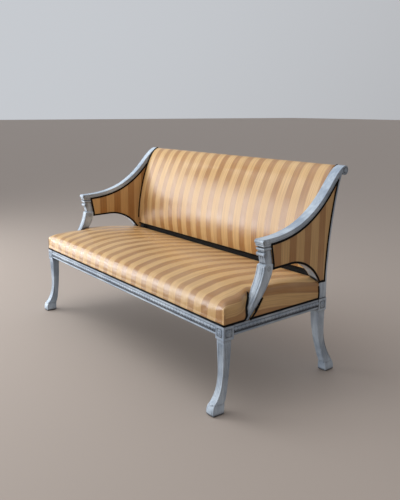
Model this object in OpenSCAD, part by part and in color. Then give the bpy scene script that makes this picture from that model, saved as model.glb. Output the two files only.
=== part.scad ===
// Neoclassical settee with two arms: a carved and painted frame on four sabre legs, arms that
// sweep up and roll over the rear posts, arched openings under the arms, a stuffed-over seat
// and an upholstered back that rolls over with the arms.
// The front looks along -Y, X runs across the seat, and the origin lies on the floor under
// the middle of the whole settee. Heights are from the floor; "back" sizes run from the
// front face of the front corner blocks.

/* [Overall size] */
// Width across the front corner blocks
frame_w = 1634; // [1400:2:1900]
// Depth from the front blocks' front face to the rear posts' back face
frame_d = 606; // [580:2:640]
// How far each side draws in between the front and the rear posts' back face
side_taper = 44; // [20:1:60]
// Height of the top of the seat rails
rail_top = 355; // [345:1:370]
// Height of the top of the arms above the seat rails
arm_rise = 565; // [545:1:595]

/* [Seat rails] */
// Height of the moulded face of the seat rails
rail_h = 47; // [44:1:52]
// Thickness of the seat rails
rail_t = 40; // [34:1:44]
// How far the rails' faces stand behind the corner blocks' faces
rail_set = 1.5; // [1:0.5:3]
// Height of the plain fillet along the top of the rails
fillet_h = 9; // [7:1:11]
// Height of the rounded band under the fillet
band_h = 17; // [14:1:18]
// How far the band's edges stand behind its middle
band_in = 3; // [2:0.5:4]
// Height of the groove under the band
groove_h = 3; // [2:0.5:4]
// Depth of the groove
groove_in = 5; // [3:0.5:6]
// Height of the tacking strip above the moulded face
tack_h = 14; // [10:1:18]
// Width of the cross stretcher under the webbing
stretcher_w = 45; // [35:1:60]
// Height of the cross stretcher
stretcher_h = 22; // [18:1:28]
// Depth of the stretcher's top below the webbing
stretcher_drop = 12; // [8:1:18]
// Leg of the triangular glue blocks in the frame's corners
glue_block = 60; // [45:1:75]
// Height of the glue blocks
glue_block_h = 30; // [24:1:36]
// Diameter of the glue-block screws
screw_d = 5; // [4:0.5:6]
// Length of the glue-block screws
screw_l = 42; // [36:1:46]

/* [Legs] */
// Width and depth of the square corner blocks
block_w = 50; // [48:1:54]
// How far the corner blocks hang below the rails
block_drop = 8; // [5:1:12]
// Side of the square sunk panel on each face of a corner block
panel_w = 34; // [28:1:38]
// Depth of the sunk panels
panel_in = 1.5; // [1:0.5:2]
// Diameter of the turned boss in each sunk panel
boss_d = 25; // [18:1:27]
// Diameter of the bosses' middle button
button_d = 9; // [6:1:12]
// How far the buttons stand proud of the blocks
button_out = 1; // [0.5:0.5:2]
// Inset of the legs under the corner blocks
leg_in = 4; // [2:0.5:6]
// Width of the legs under the blocks
leg_w = 43; // [40:1:44]
// Width of the legs at their waist
waist_w = 32; // [28:1:36]
// Height of the waist
waist_z = 140; // [120:1:160]
// Depth of the front legs under the block
front_leg_d = 36; // [32:1:42]
// Depth of the rear legs under the block
rear_leg_d = 43; // [36:1:44]
// Length over which the front legs' outer edge drops straight
front_drop = 95; // [80:1:110]
// Length over which the front legs' outer edge kicks out
front_kick = 80; // [60:1:90]
// Angle below level at which that edge reaches the ankle
front_kick_angle = 44; // [38:1:56]
// Length over which the front legs' inner edge drops straight
front_calf_drop = 120; // [100:1:135]
// Length over which the front legs' inner edge kicks out
front_calf_kick = 27; // [20:1:40]
// Angle below level at which the inner edge reaches the ankle
front_calf_angle = 56; // [46:1:66]
// Length over which the rear legs' outer edge drops straight
rear_drop = 135; // [110:1:145]
// Length over which the rear legs' outer edge kicks out
rear_kick = 105; // [80:1:115]
// Angle below level at which that edge reaches the ankle
rear_kick_angle = 55; // [48:1:62]
// Length over which the rear legs' inner edge drops straight
rear_calf_drop = 90; // [80:1:120]
// Length over which the rear legs' inner edge kicks out
rear_calf_kick = 80; // [60:1:90]
// Angle below level at which the inner edge reaches the ankle
rear_calf_angle = 61; // [52:1:70]
// Height of the ankles
ankle_z = 46; // [40:1:54]
// Depth of the legs at the ankle
ankle_d = 48; // [42:1:54]
// Width of the legs at the ankle
ankle_w = 35; // [32:1:40]
// How far the front ankles stand ahead of the blocks
front_sweep = 34; // [24:1:44]
// How far the rear ankles stand behind the posts
rear_sweep = 68; // [54:1:76]
// How far the toes stand out past the ankles
toe_out = 10; // [6:1:14]
// Height of the toes' foremost point
toe_z = 15; // [10:1:20]
// How far the heels draw in under the ankle
heel_in = 5; // [2:1:8]
// Radius of the rounding along the bottom of the feet
foot_round = 6; // [3:1:8]
// Width of the feet
foot_w = 43; // [38:1:48]
// Radius of the flutes on the legs
flute_r = 2.4; // [1.5:0.1:3]
// Distance between the flutes
flute_pitch = 9; // [8:0.5:10]

/* [Arm supports] */
// How far back the arms' front ends stand
arm_back = 206; // [190:1:220]
// Height of the arms' top at the front, above the rails
arm_front_rise = 306; // [290:1:325]
// Width of the arms and their supports
arm_w = 44; // [42:1:48]
// How far the arms' outer faces stand inside the corner blocks' plane
arm_in = 4; // [3:0.5:6]
// Depth of the support under the arm
support_d = 39; // [34:1:44]
// Height of the support's shoulder above the rails
shoulder_rise = 201; // [191:1:211]
// How far behind the arm's front end the support's rear edge stands at the shoulder
shoulder_sweep = 58; // [52:1:64]
// Depth of the support at the shoulder
shoulder_d = 45; // [40:1:48]
// How far the shoulder stands ahead of the neck
shoulder_out = 9; // [6:1:12]
// Height of the slope from the neck to the shoulder
shoulder_h = 6; // [4:1:8]
// How far the support's cap stands behind the arm's front end
cap_in = 2; // [1:0.5:4]
// Angle at which the shaft leaves the shoulder, off the upright
shaft_angle = 6; // [2:1:12]
// How far the neck stands behind the arm's front end under the ring
neck_in = 10; // [8:1:14]
// Width of the neck
neck_w = 36; // [32:1:40]
// How far below the arm's top the middle of the neck's ring stands
ring_drop = 39; // [35:1:47]
// Radius of the ring
ring_r = 6; // [4:0.5:8]
// How far ahead of the arm's front end the support's foot stands
foot_sweep = 96; // [84:1:108]
// Depth of the support at its foot
support_foot_d = 26; // [22:1:32]
// Width of the support at its foot
support_foot_w = 30; // [26:1:36]
// Angle at which the support's foot meets the rail
foot_angle = 50; // [44:1:56]
// Length over which the support drops from its shoulder before it bends
shaft_drop = 66; // [54:1:76]
// Length over which the support's front edge bends to its foot
shaft_front = 82; // [70:1:92]
// Length over which the support's rear edge bends to its foot
shaft_rear = 65; // [54:1:76]
// How far below the shoulder the support begins to narrow to its foot
narrow_drop = 86; // [60:1:105]
// Width of the tacking lips round the side panels' opening
lip = 14; // [10:1:18]

/* [Arms] */
// Thickness of the arms
arm_t = 20; // [17:1:24]
// Share of the arms' sweep over which they leave their front ends level
arm_level_share = 0.393; // [0.34:0.001:0.44]
// Share of the arms' sweep over which they climb before they roll over
arm_climb_share = 0.386; // [0.34:0.001:0.44]
// Angle at which the arms climb
climb_angle = 51; // [46:1:56]
// How far behind the posts' back face the arms stop climbing
bend_back = 4; // [-6:1:14]
// How far below their top the arms stop climbing
bend_drop = 72; // [62:1:80]
// How far behind the posts' back face the scrolls stand
scroll_back = 91; // [80:1:100]
// Radius of the scrolls
scroll_r = 20; // [17:1:22]
// Length over which the climb turns into the roll
roll_in = 26; // [18:1:34]
// Number of steps along the arms' climb
climb_steps = 22; // [12:1:30]
// Number of steps along their roll
roll_steps = 8; // [4:2:12]
// Diameter of the eye on the outer side of the scrolls
eye_d = 20; // [14:1:26]
// How far the eyes stand proud
eye_out = 2; // [1:0.5:3]

/* [Rear posts] */
// Depth of the posts
post_d = 50; // [46:1:54]
// Height up to which the posts stand straight, above the rails
post_straight = 85; // [75:1:105]
// How far the posts lean back at their top
post_lean = 58; // [48:1:64]
// How far below the arms' top that lean is reached
post_lean_drop = 70; // [60:1:80]
// Angle of the posts at their top
post_angle = 73; // [70:1:80]
// Share of the posts' leaning part over which they start to lean
post_rise_share = 0.185; // [0.14:0.001:0.22]
// Share of the posts' leaning part over which they reach their full lean
post_sway_share = 0.356; // [0.3:0.001:0.4]
// Width of the strip of wood left bare behind the side panels
post_strip = 9; // [6:1:12]

/* [Arched rails] */
// Height of the crown of the arches above the rails
arch_rise = 184; // [177:1:190]
// How far the arches have dropped at their front end
arch_dip = 6; // [2:1:10]
// How far the arches have dropped at the posts
arch_fall = 112; // [100:1:120]
// How far ahead of the posts the arches begin to fall
arch_run = 181; // [172:1:188]
// Thickness of the arched rails
arch_t = 26; // [20:1:30]

/* [Seat] */
// Height of the seat's front edge above the rails
seat_fall = 88; // [76:1:100]
// How far the seat's crown stands above its front edge
seat_crown = 32; // [20:1:40]
// Radius of the rounding along the seat's edges
seat_round = 26; // [18:1:34]
// How far the middle of each fall swells out
fall_swell = 4; // [2:0.5:6]
// Thickness of the covers
cover_t = 3; // [2:0.5:4]
// Width of the black gimp
gimp_w = 9; // [7:0.5:11]
// Thickness of the gimp
gimp_t = 2; // [1.5:0.5:3]
// Width of the webbing
web_w = 52; // [45:1:60]
// Thickness of the webbing
web_t = 1.5; // [1:0.5:2]
// How far back the first of the webs along the seat lies
long_web_back = 180; // [170:5:200]
// Number of webs from front to back of the seat
cross_webs = 13; // [9:1:15]
// Number of webs along the seat
long_webs = 4; // [3:1:5]
// Thickness of the hessian
hessian_t = 1; // [0.8:0.1:1.5]
// Thickness of the dust cover under the seat
dust_t = 1; // [0.8:0.1:1.5]

// Number of steps round the seat's rounded edges
edge_rows = 3; // [2:1:5]
// Number of rows across the seat between those edges
seat_rows_x = 10; // [6:2:16]
// Number of rows back along the seat between those edges
seat_rows_y = 6; // [4:2:12]
/* [Back] */
// Height of the lower edge of the back above the rails
back_foot_rise = 106; // [101:1:113]
// How far ahead of the posts' back face the back's lower edge stands
back_lip = 37; // [34:1:43]
// Height of the back's foremost point above its lower edge
nose_rise = 41; // [34:1:54]
// How far ahead of the posts' back face that point stands at the back's ends
nose_out = 48; // [45:1:56]
// How much further the middle of the back swells forward
back_swell = 14; // [8:1:18]
// Share of the back's height over which it rises straight from its foremost point
back_rise_share = 0.311; // [0.26:0.001:0.36]
// Share of the back's height over which it leans before it rolls over
back_lean_share = 0.175; // [0.14:0.001:0.2]
// Angle at which the back reaches the top of its roll
back_roll_angle = 8; // [0:1:12]
// Thickness of the stuffing and cover over the crest rail
crest_pad = 7; // [6:0.5:8]
// How far the cloth of the roll stands below the top of the arms
roll_drop = 1; // [0:0.5:3]
// How far the back's face draws in behind the gimp along its foot
foot_slope = 4; // [2:1:6]
// How far the back's cover turns under the lower rail
turn_under = 26; // [20:1:32]
// How far below the arms' top the outside back's cloth ends
outside_drop = 42; // [38:1:50]
// How far below the arms' top the back's webbing ends
web_drop = 94; // [88:1:104]
// Thickness of the back's frame
back_frame_t = 22; // [18:1:24]
// Height of the back's lower rail
back_rail_h = 50; // [40:1:56]
// Width of the uprights between the back's rails
stay_w = 45; // [36:1:56]
// Height of the crest rail
crest_h = 125; // [115:1:140]
// Number of upright webs in the back
back_webs = 11; // [7:1:13]

/* [Hidden] */

paint = [0.62, 0.68, 0.74];
bare_wood = [0.72, 0.58, 0.42];
gold_cloth = [0.83, 0.66, 0.43];
black_braid = [0.07, 0.06, 0.07];
jute = [0.62, 0.50, 0.34];
linen = [0.78, 0.72, 0.60];
wadding = [0.90, 0.87, 0.80];
steel = [0.70, 0.70, 0.72];

// Slack between cloth or stuffing and what it lies against
slack = 0.3;
// Cuts run past what they cut by this much
over = 5;
$fn = 32;

side_angle = atan(side_taper / frame_d);
rail_bottom = rail_top - rail_h;
block_bottom = rail_bottom - block_drop;
tack_top = rail_top + tack_h;
arm_top = rail_top + arm_rise;
arm_front_top = rail_top + arm_front_rise;
shoulder_z = rail_top + shoulder_rise;
ring_z = arm_front_top - ring_drop;
arch_top = rail_top + arch_rise;
back_foot_z = rail_top + back_foot_rise;
nose_z = back_foot_z + nose_rise;
shoulder_back = arm_back + shoulder_sweep;
foot_back = arm_back - foot_sweep;
bead_h = rail_h - fillet_h - band_h - groove_h;

// Depth of the whole settee, from the front toes to the back of the scrolls, and its middle
front_reach = front_sweep + toe_out;
rear_reach = (frame_d + scroll_back + scroll_r) * cos(side_angle) - arm_in * sin(side_angle);
mid_y = (rear_reach - front_reach) / 2;

web_z = tack_top + slack;
hessian_z = web_z + 2 * web_t;
stuffing_z = hessian_z + hessian_t + slack;
inner_side = arm_in + arm_w;

// Depths behind the posts' back face of the outside back's cloth, the back's frame, its
// webbing, its hessian and its stuffing
frame_in = 2 * cover_t;
back_web_in = frame_in + back_frame_t;
back_hessian_in = back_web_in + web_t;
back_t = back_hessian_in + hessian_t;

// The seat ends just ahead of the outside back's cloth
seat_back = at_side(frame_d) - frame_in - slack;

// Curves

function turned(a) = [cos(a), sin(a)];

function bezier(p, t) =
    pow(1 - t, 3) * p[0] + 3 * pow(1 - t, 2) * t * p[1] + 3 * (1 - t) * pow(t, 2) * p[2] + pow(t, 3) * p[3];

// Points from p, left at angle a, to q, reached at angle b; run_p and run_q say how long
// the line keeps to each angle
function sweep_line(p, a, run_p, q, b, run_q, steps) =
    let (ctrl = [p, p + run_p * turned(a), q - run_q * turned(b), q])
    [for (i = [0:steps]) bezier(ctrl, i / steps)];

function reversed(line) = [for (i = [len(line) - 1:-1:0]) line[i]];

function shifted(line, d) = [for (p = line) p + d];

// A line moved sideways, to its right as it runs
function beside(line, off) = [
    for (i = [0:len(line) - 1])
        let (run = line[min(i + 1, len(line) - 1)] - line[max(i - 1, 0)])
        line[i] + off * [run[1], -run[0]] / norm(run)
];

function arc_line(centre, r, from, to, steps) =
    [for (i = [0:steps]) centre + r * turned(from + (to - from) * i / steps)];

// Where things stand

module in_place() translate([0, -mid_y, 0]) children();

// The right-hand side's own frame: X = 0 on the plane through the corner blocks' outer
// edges, Y back along that plane
module on_right() translate([frame_w / 2, 0, 0]) rotate([0, 0, side_angle]) children();

// Half the width between the two planes that stand "inside" behind the corner blocks' planes
function half_w(y, inside) = frame_w / 2 - side_taper * y / frame_d - inside / cos(side_angle);

// An outline of [distance back, height], "thick" wide, with its outer face at X = out
module side_slab(out, thick) translate([out - thick, 0, 0]) rotate([90, 0, 90]) linear_extrude(thick) children();

// An outline of [across, height], from back to front
module front_slab(from, to) translate([0, to, 0]) rotate([90, 0, 0]) linear_extrude(to - from) children();

// Everything between the side planes that stand "inside" behind the corner blocks' planes
module between_sides(inside) {
    far = 2 * frame_d;
    linear_extrude(2 * arm_top) polygon([
        [-half_w(-far, inside), -far], [half_w(-far, inside), -far],
        [half_w(far, inside), far], [-half_w(far, inside), far]
    ]);
}

// An outline of [distance back, height] carried across between those planes
module across(inside) intersection() {
    side_slab(frame_w, 2 * frame_w) children();
    between_sides(inside);
}

// Seat rails

// How far the covers and the tacking strips stand behind the rails' moulded faces
tack_in = cover_t + slack;

// Section of a moulded rail as [distance in from its face, height]
function rail_section() = let (
    band_top = rail_top - fillet_h,
    groove_top = band_top - band_h,
    bead_top = groove_top - groove_h
) concat(
    [[tack_in, tack_top], [tack_in, rail_top], [0, rail_top], [0, band_top]],
    [for (i = [0:8]) [band_in * (1 - sin(180 * i / 8)), band_top - band_h * i / 8]],
    [[groove_in, groove_top], [groove_in, bead_top]],
    [for (i = [0:8]) [bead_h / 2 * (1 - sin(180 * i / 8)), bead_top - bead_h * i / 8]],
    [[rail_t, rail_bottom], [rail_t, tack_top]]
);

module front_rail_shape() difference() {
    side_slab(frame_w / 2 - block_w, frame_w - 2 * block_w)
        polygon([for (p = rail_section()) [rail_set + p[0], p[1]]]);
    screw_holes();
}

module side_rail() difference() {
    front_slab(-over, frame_d - block_w) polygon([for (p = rail_section()) [-rail_set - p[0], p[1]]]);
    rotate([0, 0, -side_angle]) translate([-2 * block_w, -2 * block_w, 0])
        cube([4 * block_w, 3 * block_w, arm_top]);
    side_slab(-arm_in, arm_w) polygon(support_outline(0));
}

module rear_rail_shape() difference() {
    union() {
        across(block_w) translate([seat_back - rail_t, rail_bottom]) square([rail_t, rail_h]);
        across(max(block_w, inner_side)) translate([seat_back - rail_t, rail_bottom])
            square([rail_t - tack_in, rail_h + tack_h]);
    }
    screw_holes();
}

// Glue blocks and their screws

inner_front = rail_set + rail_t;
inner_rear = seat_back - rail_t;
screw_z = rail_top - glue_block_h / 2;
screw_seat = 14;
// Where along a glue block's leg its screw stands
screw_share = 0.6;
screw_head_d = 2 * screw_d;
screw_head_h = screw_d / 2;

// Right-hand blocks in plan; dir says which way the block runs from its cross rail
module glue_block_plan(y, dir) {
    x = half_w(y, inner_front);
    polygon([[x - glue_block, y], [x + over, y], [x + over, y + dir * (glue_block + over)]]);
}

// One screw along -Y from its head's seat at the origin, with room of "loose" round it
module screw(loose, head_h) rotate([90, 0, 0]) {
    cylinder(d = screw_d + loose, h = screw_l, $fn = 12);
    translate([0, 0, -head_h]) cylinder(d = screw_head_d + loose, h = head_h, $fn = 12);
}

// The two screws of each right-hand block: one into the cross rail, one into the side rail
module right_screws(loose, head_h) {
    reach = glue_block * screw_share;
    for (end = [[inner_front, 1], [inner_rear, -1]])
        translate([half_w(end[0], inner_front) - reach, end[0] + end[1] * screw_seat, screw_z])
            rotate([0, 0, end[1] > 0 ? 0 : 180]) screw(loose, head_h);
    on_right() for (y = [inner_front + reach, inner_rear - reach])
        translate([-inner_front - screw_seat, y, screw_z]) rotate([0, 0, 90]) screw(loose, head_h);
}

module screws(loose, head_h) {
    right_screws(loose, head_h);
    mirror([1, 0, 0]) right_screws(loose, head_h);
}

module screw_holes() screws(slack, glue_block);

module right_glue_blocks() difference() {
    translate([0, 0, rail_top - glue_block_h]) intersection() {
        between_sides(inner_front);
        linear_extrude(glue_block_h) {
            glue_block_plan(inner_front, 1);
            glue_block_plan(inner_rear, -1);
        }
    }
    translate([frame_w / 2 - block_w, 0, 0]) cube([block_w, block_w, arm_top]);
    on_right() translate([-block_w, frame_d - block_w, 0]) cube([block_w, block_w, arm_top]);
    right_screws(slack, glue_block);
}

// Legs

function tail(line) = [for (i = [1:len(line) - 1]) line[i]];

// Side outline of a leg under its block, as [distance in from the block's outward face, height]
function leg_outline(depth, sweep, drop, kick, kick_angle, calf_drop, calf_kick, calf_angle) = let (
    ankle = [-sweep, ankle_z],
    toe = [-sweep - toe_out, toe_z],
    calf = [ankle_d - sweep, ankle_z],
    heel = ankle_d - sweep - heel_in
) concat(
    sweep_line([leg_in, block_bottom], -90, drop, ankle, 180 + kick_angle, kick, 14),
    tail(sweep_line(ankle, 180 + kick_angle, toe_out, toe, 270, toe_z / 2, 5)),
    arc_line([toe[0] + foot_round, foot_round], foot_round, 180, 270, 4),
    arc_line([heel - foot_round, foot_round], foot_round, -90, 0, 4),
    reversed(sweep_line([leg_in + depth, block_bottom], -90, calf_drop, calf, 180 + calf_angle, calf_kick, 12))
);

front_leg_side = leg_outline(front_leg_d, front_sweep, front_drop, front_kick, front_kick_angle,
    front_calf_drop, front_calf_kick, front_calf_angle);
rear_leg_side = [for (p = leg_outline(rear_leg_d, rear_sweep, rear_drop, rear_kick, rear_kick_angle,
    rear_calf_drop, rear_calf_kick, rear_calf_angle)) [frame_d - p[0], p[1]]];

// Half of a leg's front outline, as [distance from its middle, height]
leg_half = concat(
    [[leg_w / 2, block_bottom]],
    sweep_line([waist_w / 2, waist_z], -90, (waist_z - ankle_z) / 3, [ankle_w / 2, ankle_z], -90,
        (waist_z - ankle_z) / 4, 6),
    tail(sweep_line([ankle_w / 2, ankle_z], -30, (foot_w - ankle_w) / 4, [foot_w / 2, toe_z], -90, toe_z, 5)),
    arc_line([foot_w / 2 - foot_round, foot_round], foot_round, 0, -90, 4)
);

module leg_shaft(side) intersection() {
    side_slab(0, block_w) polygon(side);
    front_slab(-frame_d, 2 * frame_d) translate([-block_w / 2, 0])
        polygon(concat(leg_half, reversed([for (p = leg_half) [-p[0], p[1]]])));
}

block_mid = rail_top - (rail_h + block_drop) / 2;

// The sunk panel on a face that looks along -Y
module sunk_panel() translate([-panel_w / 2, -over, -panel_w / 2]) cube([panel_w, over + panel_in, panel_w]);

module boss() translate([0, panel_in, 0]) rotate([90, 0, 0]) {
    cylinder(d = boss_d, h = panel_in);
    cylinder(d = button_d, h = panel_in + button_out);
}

module on_block_faces() {
    translate([-block_w / 2, 0, block_mid]) children();
    translate([0, block_w / 2, block_mid]) rotate([0, 0, 90]) children();
}

module corner_block() {
    difference() {
        translate([-block_w, 0, block_bottom]) cube([block_w, block_w, rail_top - block_bottom]);
        on_block_faces() sunk_panel();
    }
    on_block_faces() boss();
}

// What the front blocks carry up behind the covers, level with the tacking strips
module block_top() intersection() {
    set = rail_set + tack_in;
    translate([frame_w / 2 - block_w, set, rail_top]) cube([block_w, block_w - set, tack_h]);
    between_sides(set);
}

// Three flutes down the front face and three down the outer face
module flutes() {
    taper = atan((leg_w - waist_w) / 2 / (block_bottom - waist_z));
    top = block_bottom - 2 * flute_pitch;
    run = top - waist_z - flute_pitch;
    for (side = [-1, 0, 1]) {
        translate([-block_w / 2 + side * flute_pitch, leg_in, top - run]) cylinder(r = flute_r, h = run, $fn = 12);
        translate([-(block_w - leg_w) / 2, leg_in + front_leg_d / 2 + side * flute_pitch, block_bottom])
            rotate([0, 180 + taper, 0]) translate([0, 0, block_bottom - top]) cylinder(r = flute_r, h = run, $fn = 12);
    }
}

module front_leg() {
    translate([frame_w / 2, 0, 0]) {
        corner_block();
        difference() {
            leg_shaft(front_leg_side);
            flutes();
        }
    }
    block_top();
}

// Side outlines, as [distance back, height]

arm_start = [arm_back, arm_front_top];
arm_bend = [frame_d + bend_back, arm_top - bend_drop];
arm_peak = [frame_d + scroll_back, arm_top];
scroll_mid = arm_peak - [0, scroll_r];
arm_sweep = norm(arm_bend - arm_start);
// How far round the scrolls run from their top
scroll_angle = 240;

arm_top_line = concat(
    sweep_line(arm_start, 0, arm_sweep * arm_level_share, arm_bend, climb_angle, arm_sweep * arm_climb_share,
        climb_steps),
    tail(sweep_line(arm_bend, climb_angle, roll_in, arm_peak, 0, roll_in, roll_steps))
);

// The arm's underside, moved down by off, as far as the scroll
function arm_under(off) = let (line = beside(arm_top_line, arm_t + off))
    [for (i = [0:climb_steps + roll_steps / 2]) line[i]];

arm_outline = concat(
    arm_top_line,
    tail(arc_line(scroll_mid, scroll_r, 90, 90 - scroll_angle, 16)),
    reversed(arm_under(0))
);

// Everything over the arm's underside, moved down by off
module above_arm(off) polygon(concat(
    [[arm_back - over - off, arm_front_top - arm_t - off]],
    arm_under(off),
    arc_line(scroll_mid, scroll_r + off, 360 + 90 - scroll_angle, 360, 10),
    [[scroll_mid[0] + scroll_r + off, 2 * arm_top], [arm_back - over - off, 2 * arm_top]]
));

post_run = arm_rise - post_lean_drop - post_straight;
post_rear_line = let (line = sweep_line([frame_d, rail_top + post_straight], 90, post_run * post_rise_share,
    [frame_d + post_lean, arm_top - post_lean_drop], post_angle, post_run * post_sway_share, 14))
    concat([[frame_d, rail_top]], line, [line[14] + 2 * scroll_r * turned(post_angle)]);

function post_rear_y(z) = lookup(z, [for (p = post_rear_line) [p[1], p[0]]]);

// The part of the post within "wide" of its back face
module post_strip_shape(wide) difference() {
    polygon(concat(post_rear_line, reversed(shifted(post_rear_line, [-wide, 0]))));
    above_arm(0);
}

arch_r = (pow(arch_run, 2) + pow(arch_fall, 2)) / (2 * arch_fall);
arch_mid = [frame_d - post_d - arch_run, arch_top - arch_r];
panel_foot_z = arch_top - arch_fall;

// The arch moved outward by off, from its front end until it has fallen to end_z
function arch_line(off, end_z) = concat(
    [[shoulder_back - lip, arch_top - arch_dip + off]],
    arc_line(arch_mid, arch_r + off, 90, asin((end_z - arch_mid[1]) / (arch_r + off)), 14)
);

// Everything under the arch and under the side panels' rear corner, both moved up by off
module below_arch(off) {
    foot_z = panel_foot_z + off;
    polygon(concat(
        arch_line(off, foot_z),
        [[2 * frame_d, foot_z], [2 * frame_d, 0], [shoulder_back - lip, 0]]
    ));
}

function support_outline(gap) = let (
    neck_front = arm_back + neck_in,
    neck_foot = shoulder_back - shoulder_d + shoulder_out,
    front = concat(
        [[arm_back + cap_in, arm_front_top], [arm_back + cap_in, ring_z + 2 * ring_r]],
        arc_line([neck_front, ring_z], ring_r, 90, 270, 8),
        [[neck_foot, shoulder_z + shoulder_h]],
        sweep_line([shoulder_back - shoulder_d, shoulder_z], -90 - shaft_angle, shaft_drop,
            [foot_back, rail_top], 180 + foot_angle, shaft_front, 12)
    ),
    rear = concat(
        sweep_line([foot_back + support_foot_d, rail_top], foot_angle, shaft_rear,
            [shoulder_back, shoulder_z], 90 + shaft_angle, shaft_drop, 12),
        [[arm_back + support_d, arm_front_top]]
    )
) concat(shifted(front, [-gap, 0]), shifted(rear, [gap, 0]));

// The support seen from the front, as [across, height]
module support_front_shape() {
    nick = (arm_w - neck_w) / 2;
    mouldings = concat(
        [[0, arm_front_top], [0, ring_z + 2 * ring_r]],
        [for (i = [0:8]) [nick * (1 - sin(180 * i / 8)), ring_z + ring_r * cos(180 * i / 8)]],
        [[nick, shoulder_z + shoulder_h], [0, shoulder_z]]
    );
    polygon(concat(
        [for (p = mouldings) [-arm_in - p[0], p[1]]],
        [[-arm_in, rail_top], [-arm_in - support_foot_w, rail_top], [-arm_in - arm_w, shoulder_z - narrow_drop]],
        reversed([for (p = mouldings) [-arm_in - arm_w + p[0], p[1]]])
    ));
}

// The line of the support's rear edge over its shoulder, moved back by off
function support_rear_line(off) = [
    [arm_back + support_d + off, arm_front_top],
    [shoulder_back + off, shoulder_z],
    [shoulder_back + off, rail_top]
];

module support_lip_shape() difference() {
    polygon(concat(support_rear_line(0), reversed(support_rear_line(lip))));
    above_arm(0);
    below_arch(arch_t);
}

// The field between the support and the post, cut back by these amounts
module side_field(front_off, rear_off)
    polygon(concat(support_rear_line(front_off), shifted(post_rear_line, [-rear_off, 0])));

module side_panel(off, strip) difference() {
    side_field(off, strip + off);
    above_arm(off);
    below_arch(off);
}

// The opening between the tacking lips, drawn in by off
module side_opening(off) difference() {
    side_field(lip + off, post_d + off);
    above_arm(lip + off);
    below_arch(arch_t + off);
}

// Rear legs, supports and arms

// The wood of the sides between their inner and outer covers
module core_slab() side_slab(-arm_in - cover_t, arm_w - 2 * cover_t) children();

module rear_leg() {
    translate([0, frame_d, 0]) mirror([0, 1, 0]) corner_block();
    leg_shaft(rear_leg_side);
    core_slab() post_strip_shape(post_d);
    side_slab(-arm_in, cover_t) post_strip_shape(post_strip);
    side_slab(-arm_in - arm_w + cover_t, cover_t) post_strip_shape(back_t);
    side_slab(-arm_in, arm_w)
        translate([frame_d - post_d, rail_top]) square([post_d, panel_foot_z - rail_top]);
}

module arm_support() {
    intersection() {
        side_slab(-arm_in, arm_w) difference() {
            polygon(support_outline(0));
            above_arm(0);
        }
        front_slab(0, frame_d) support_front_shape();
    }
    core_slab() support_lip_shape();
}

module arm_rail() {
    side_slab(-arm_in, arm_w) polygon(arm_outline);
    core_slab() difference() {
        intersection() {
            side_field(lip, post_d);
            above_arm(lip);
        }
        above_arm(0);
    }
    translate([-arm_in, scroll_mid[0], scroll_mid[1]]) rotate([0, 90, 0]) cylinder(d = eye_d, h = eye_out);
}

module arched_rail() core_slab() difference() {
    polygon(concat(arch_line(0, panel_foot_z), reversed(arch_line(arch_t, panel_foot_z))));
    polygon(support_outline(0));
    polygon(concat(post_rear_line, reversed(shifted(post_rear_line, [-post_d, 0]))));
}

// Seat

nx = 2 * edge_rows + seat_rows_x;
ny = 2 * edge_rows + seat_rows_y;
// How much of the crown is left along the sides, how far forward its top lies, and how
// far into the corners the swell of falls and back runs
crown_side_share = 0.85;
crown_bend_share = 0.75;
swell_share = 6;

// Positions along a length whose ends are rounded with radius r
function stations(length, r, mids) = concat(
    [for (k = [0:edge_rows]) r * (1 - cos(90 * k / edge_rows))],
    [for (k = [1:mids - 1]) r + (length - 2 * r) * k / mids],
    [for (k = [edge_rows:-1:0]) length - r * (1 - cos(90 * k / edge_rows))]
);

// Height of a rounded edge at distance d in from it
function rounded(d, r) = sqrt(1 - pow(1 - min(max(d, 0), r) / r, 2));

// The top of the seat, drawn in by inset, as rows of points from front to back
function seat_top(inset) = let (
    r = seat_round - inset,
    ys = [for (y = stations(seat_back - rail_set - 2 * inset, r, seat_rows_y)) rail_set + inset + y],
    deep = ys[ny] - ys[0]
) [for (y = ys) let (half = half_w(y, rail_set) - inset)
    [for (d = stations(2 * half, r, seat_rows_x))
        let (
            u = d / half - 1,
            v = (y - ys[0]) / deep,
            crown = sin(180 * pow(v, crown_bend_share)) * (1 - (1 - crown_side_share) * pow(u, 4)),
            edge = rounded(min(d, 2 * half - d), r) * rounded(min(y - ys[0], ys[ny] - y), r)
        )
        [d - half, y, rail_top + seat_fall - seat_round + r * edge + seat_crown * crown]]];

// Walks once round a grid of rows, counter-clockwise from above
function rim() = concat(
    [for (k = [0:nx - 1]) [k, 0]], [for (k = [0:ny - 1]) [nx, k]],
    [for (k = [nx:-1:1]) [k, ny]], [for (k = [ny:-1:1]) [0, k]]
);

rim_n = 2 * (nx + ny);

// How far the fall swells out at each step of the rim, as [X, Y]
function swell_at(step) = let (
    along = step[1] == 0 || step[1] == ny ? step[0] / nx : step[1] / ny,
    out = fall_swell * (1 - pow(abs(2 * along - 1), swell_share))
) step[1] == 0 ? [0, -out] : step[1] == ny ? [0, 0] : step[0] == nx ? [out, 0] : [-out, 0];

// Points of the seat's falls under its top: rows at half height and at each of these heights
function falls(top, feet) = let (walk = rim()) concat(
    [for (step = walk) let (p = top[step[1]][step[0]], swell = swell_at(step))
        [p[0] + swell[0], p[1] + swell[1], (p[2] + rail_top + gimp_w) / 2]],
    [for (z = feet) each [for (step = walk) let (p = top[step[1]][step[0]]) [p[0], p[1], z]]]
);

function seat_points(inset, feet) = let (top = seat_top(inset))
    concat([for (row = top) each row], falls(top, feet));

top_n = (nx + 1) * (ny + 1);

function quad(a, b, c, d) = [[a, b, c], [a, c, d]];
function turned_over(faces) = [for (f = faces) reversed(f)];

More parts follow.
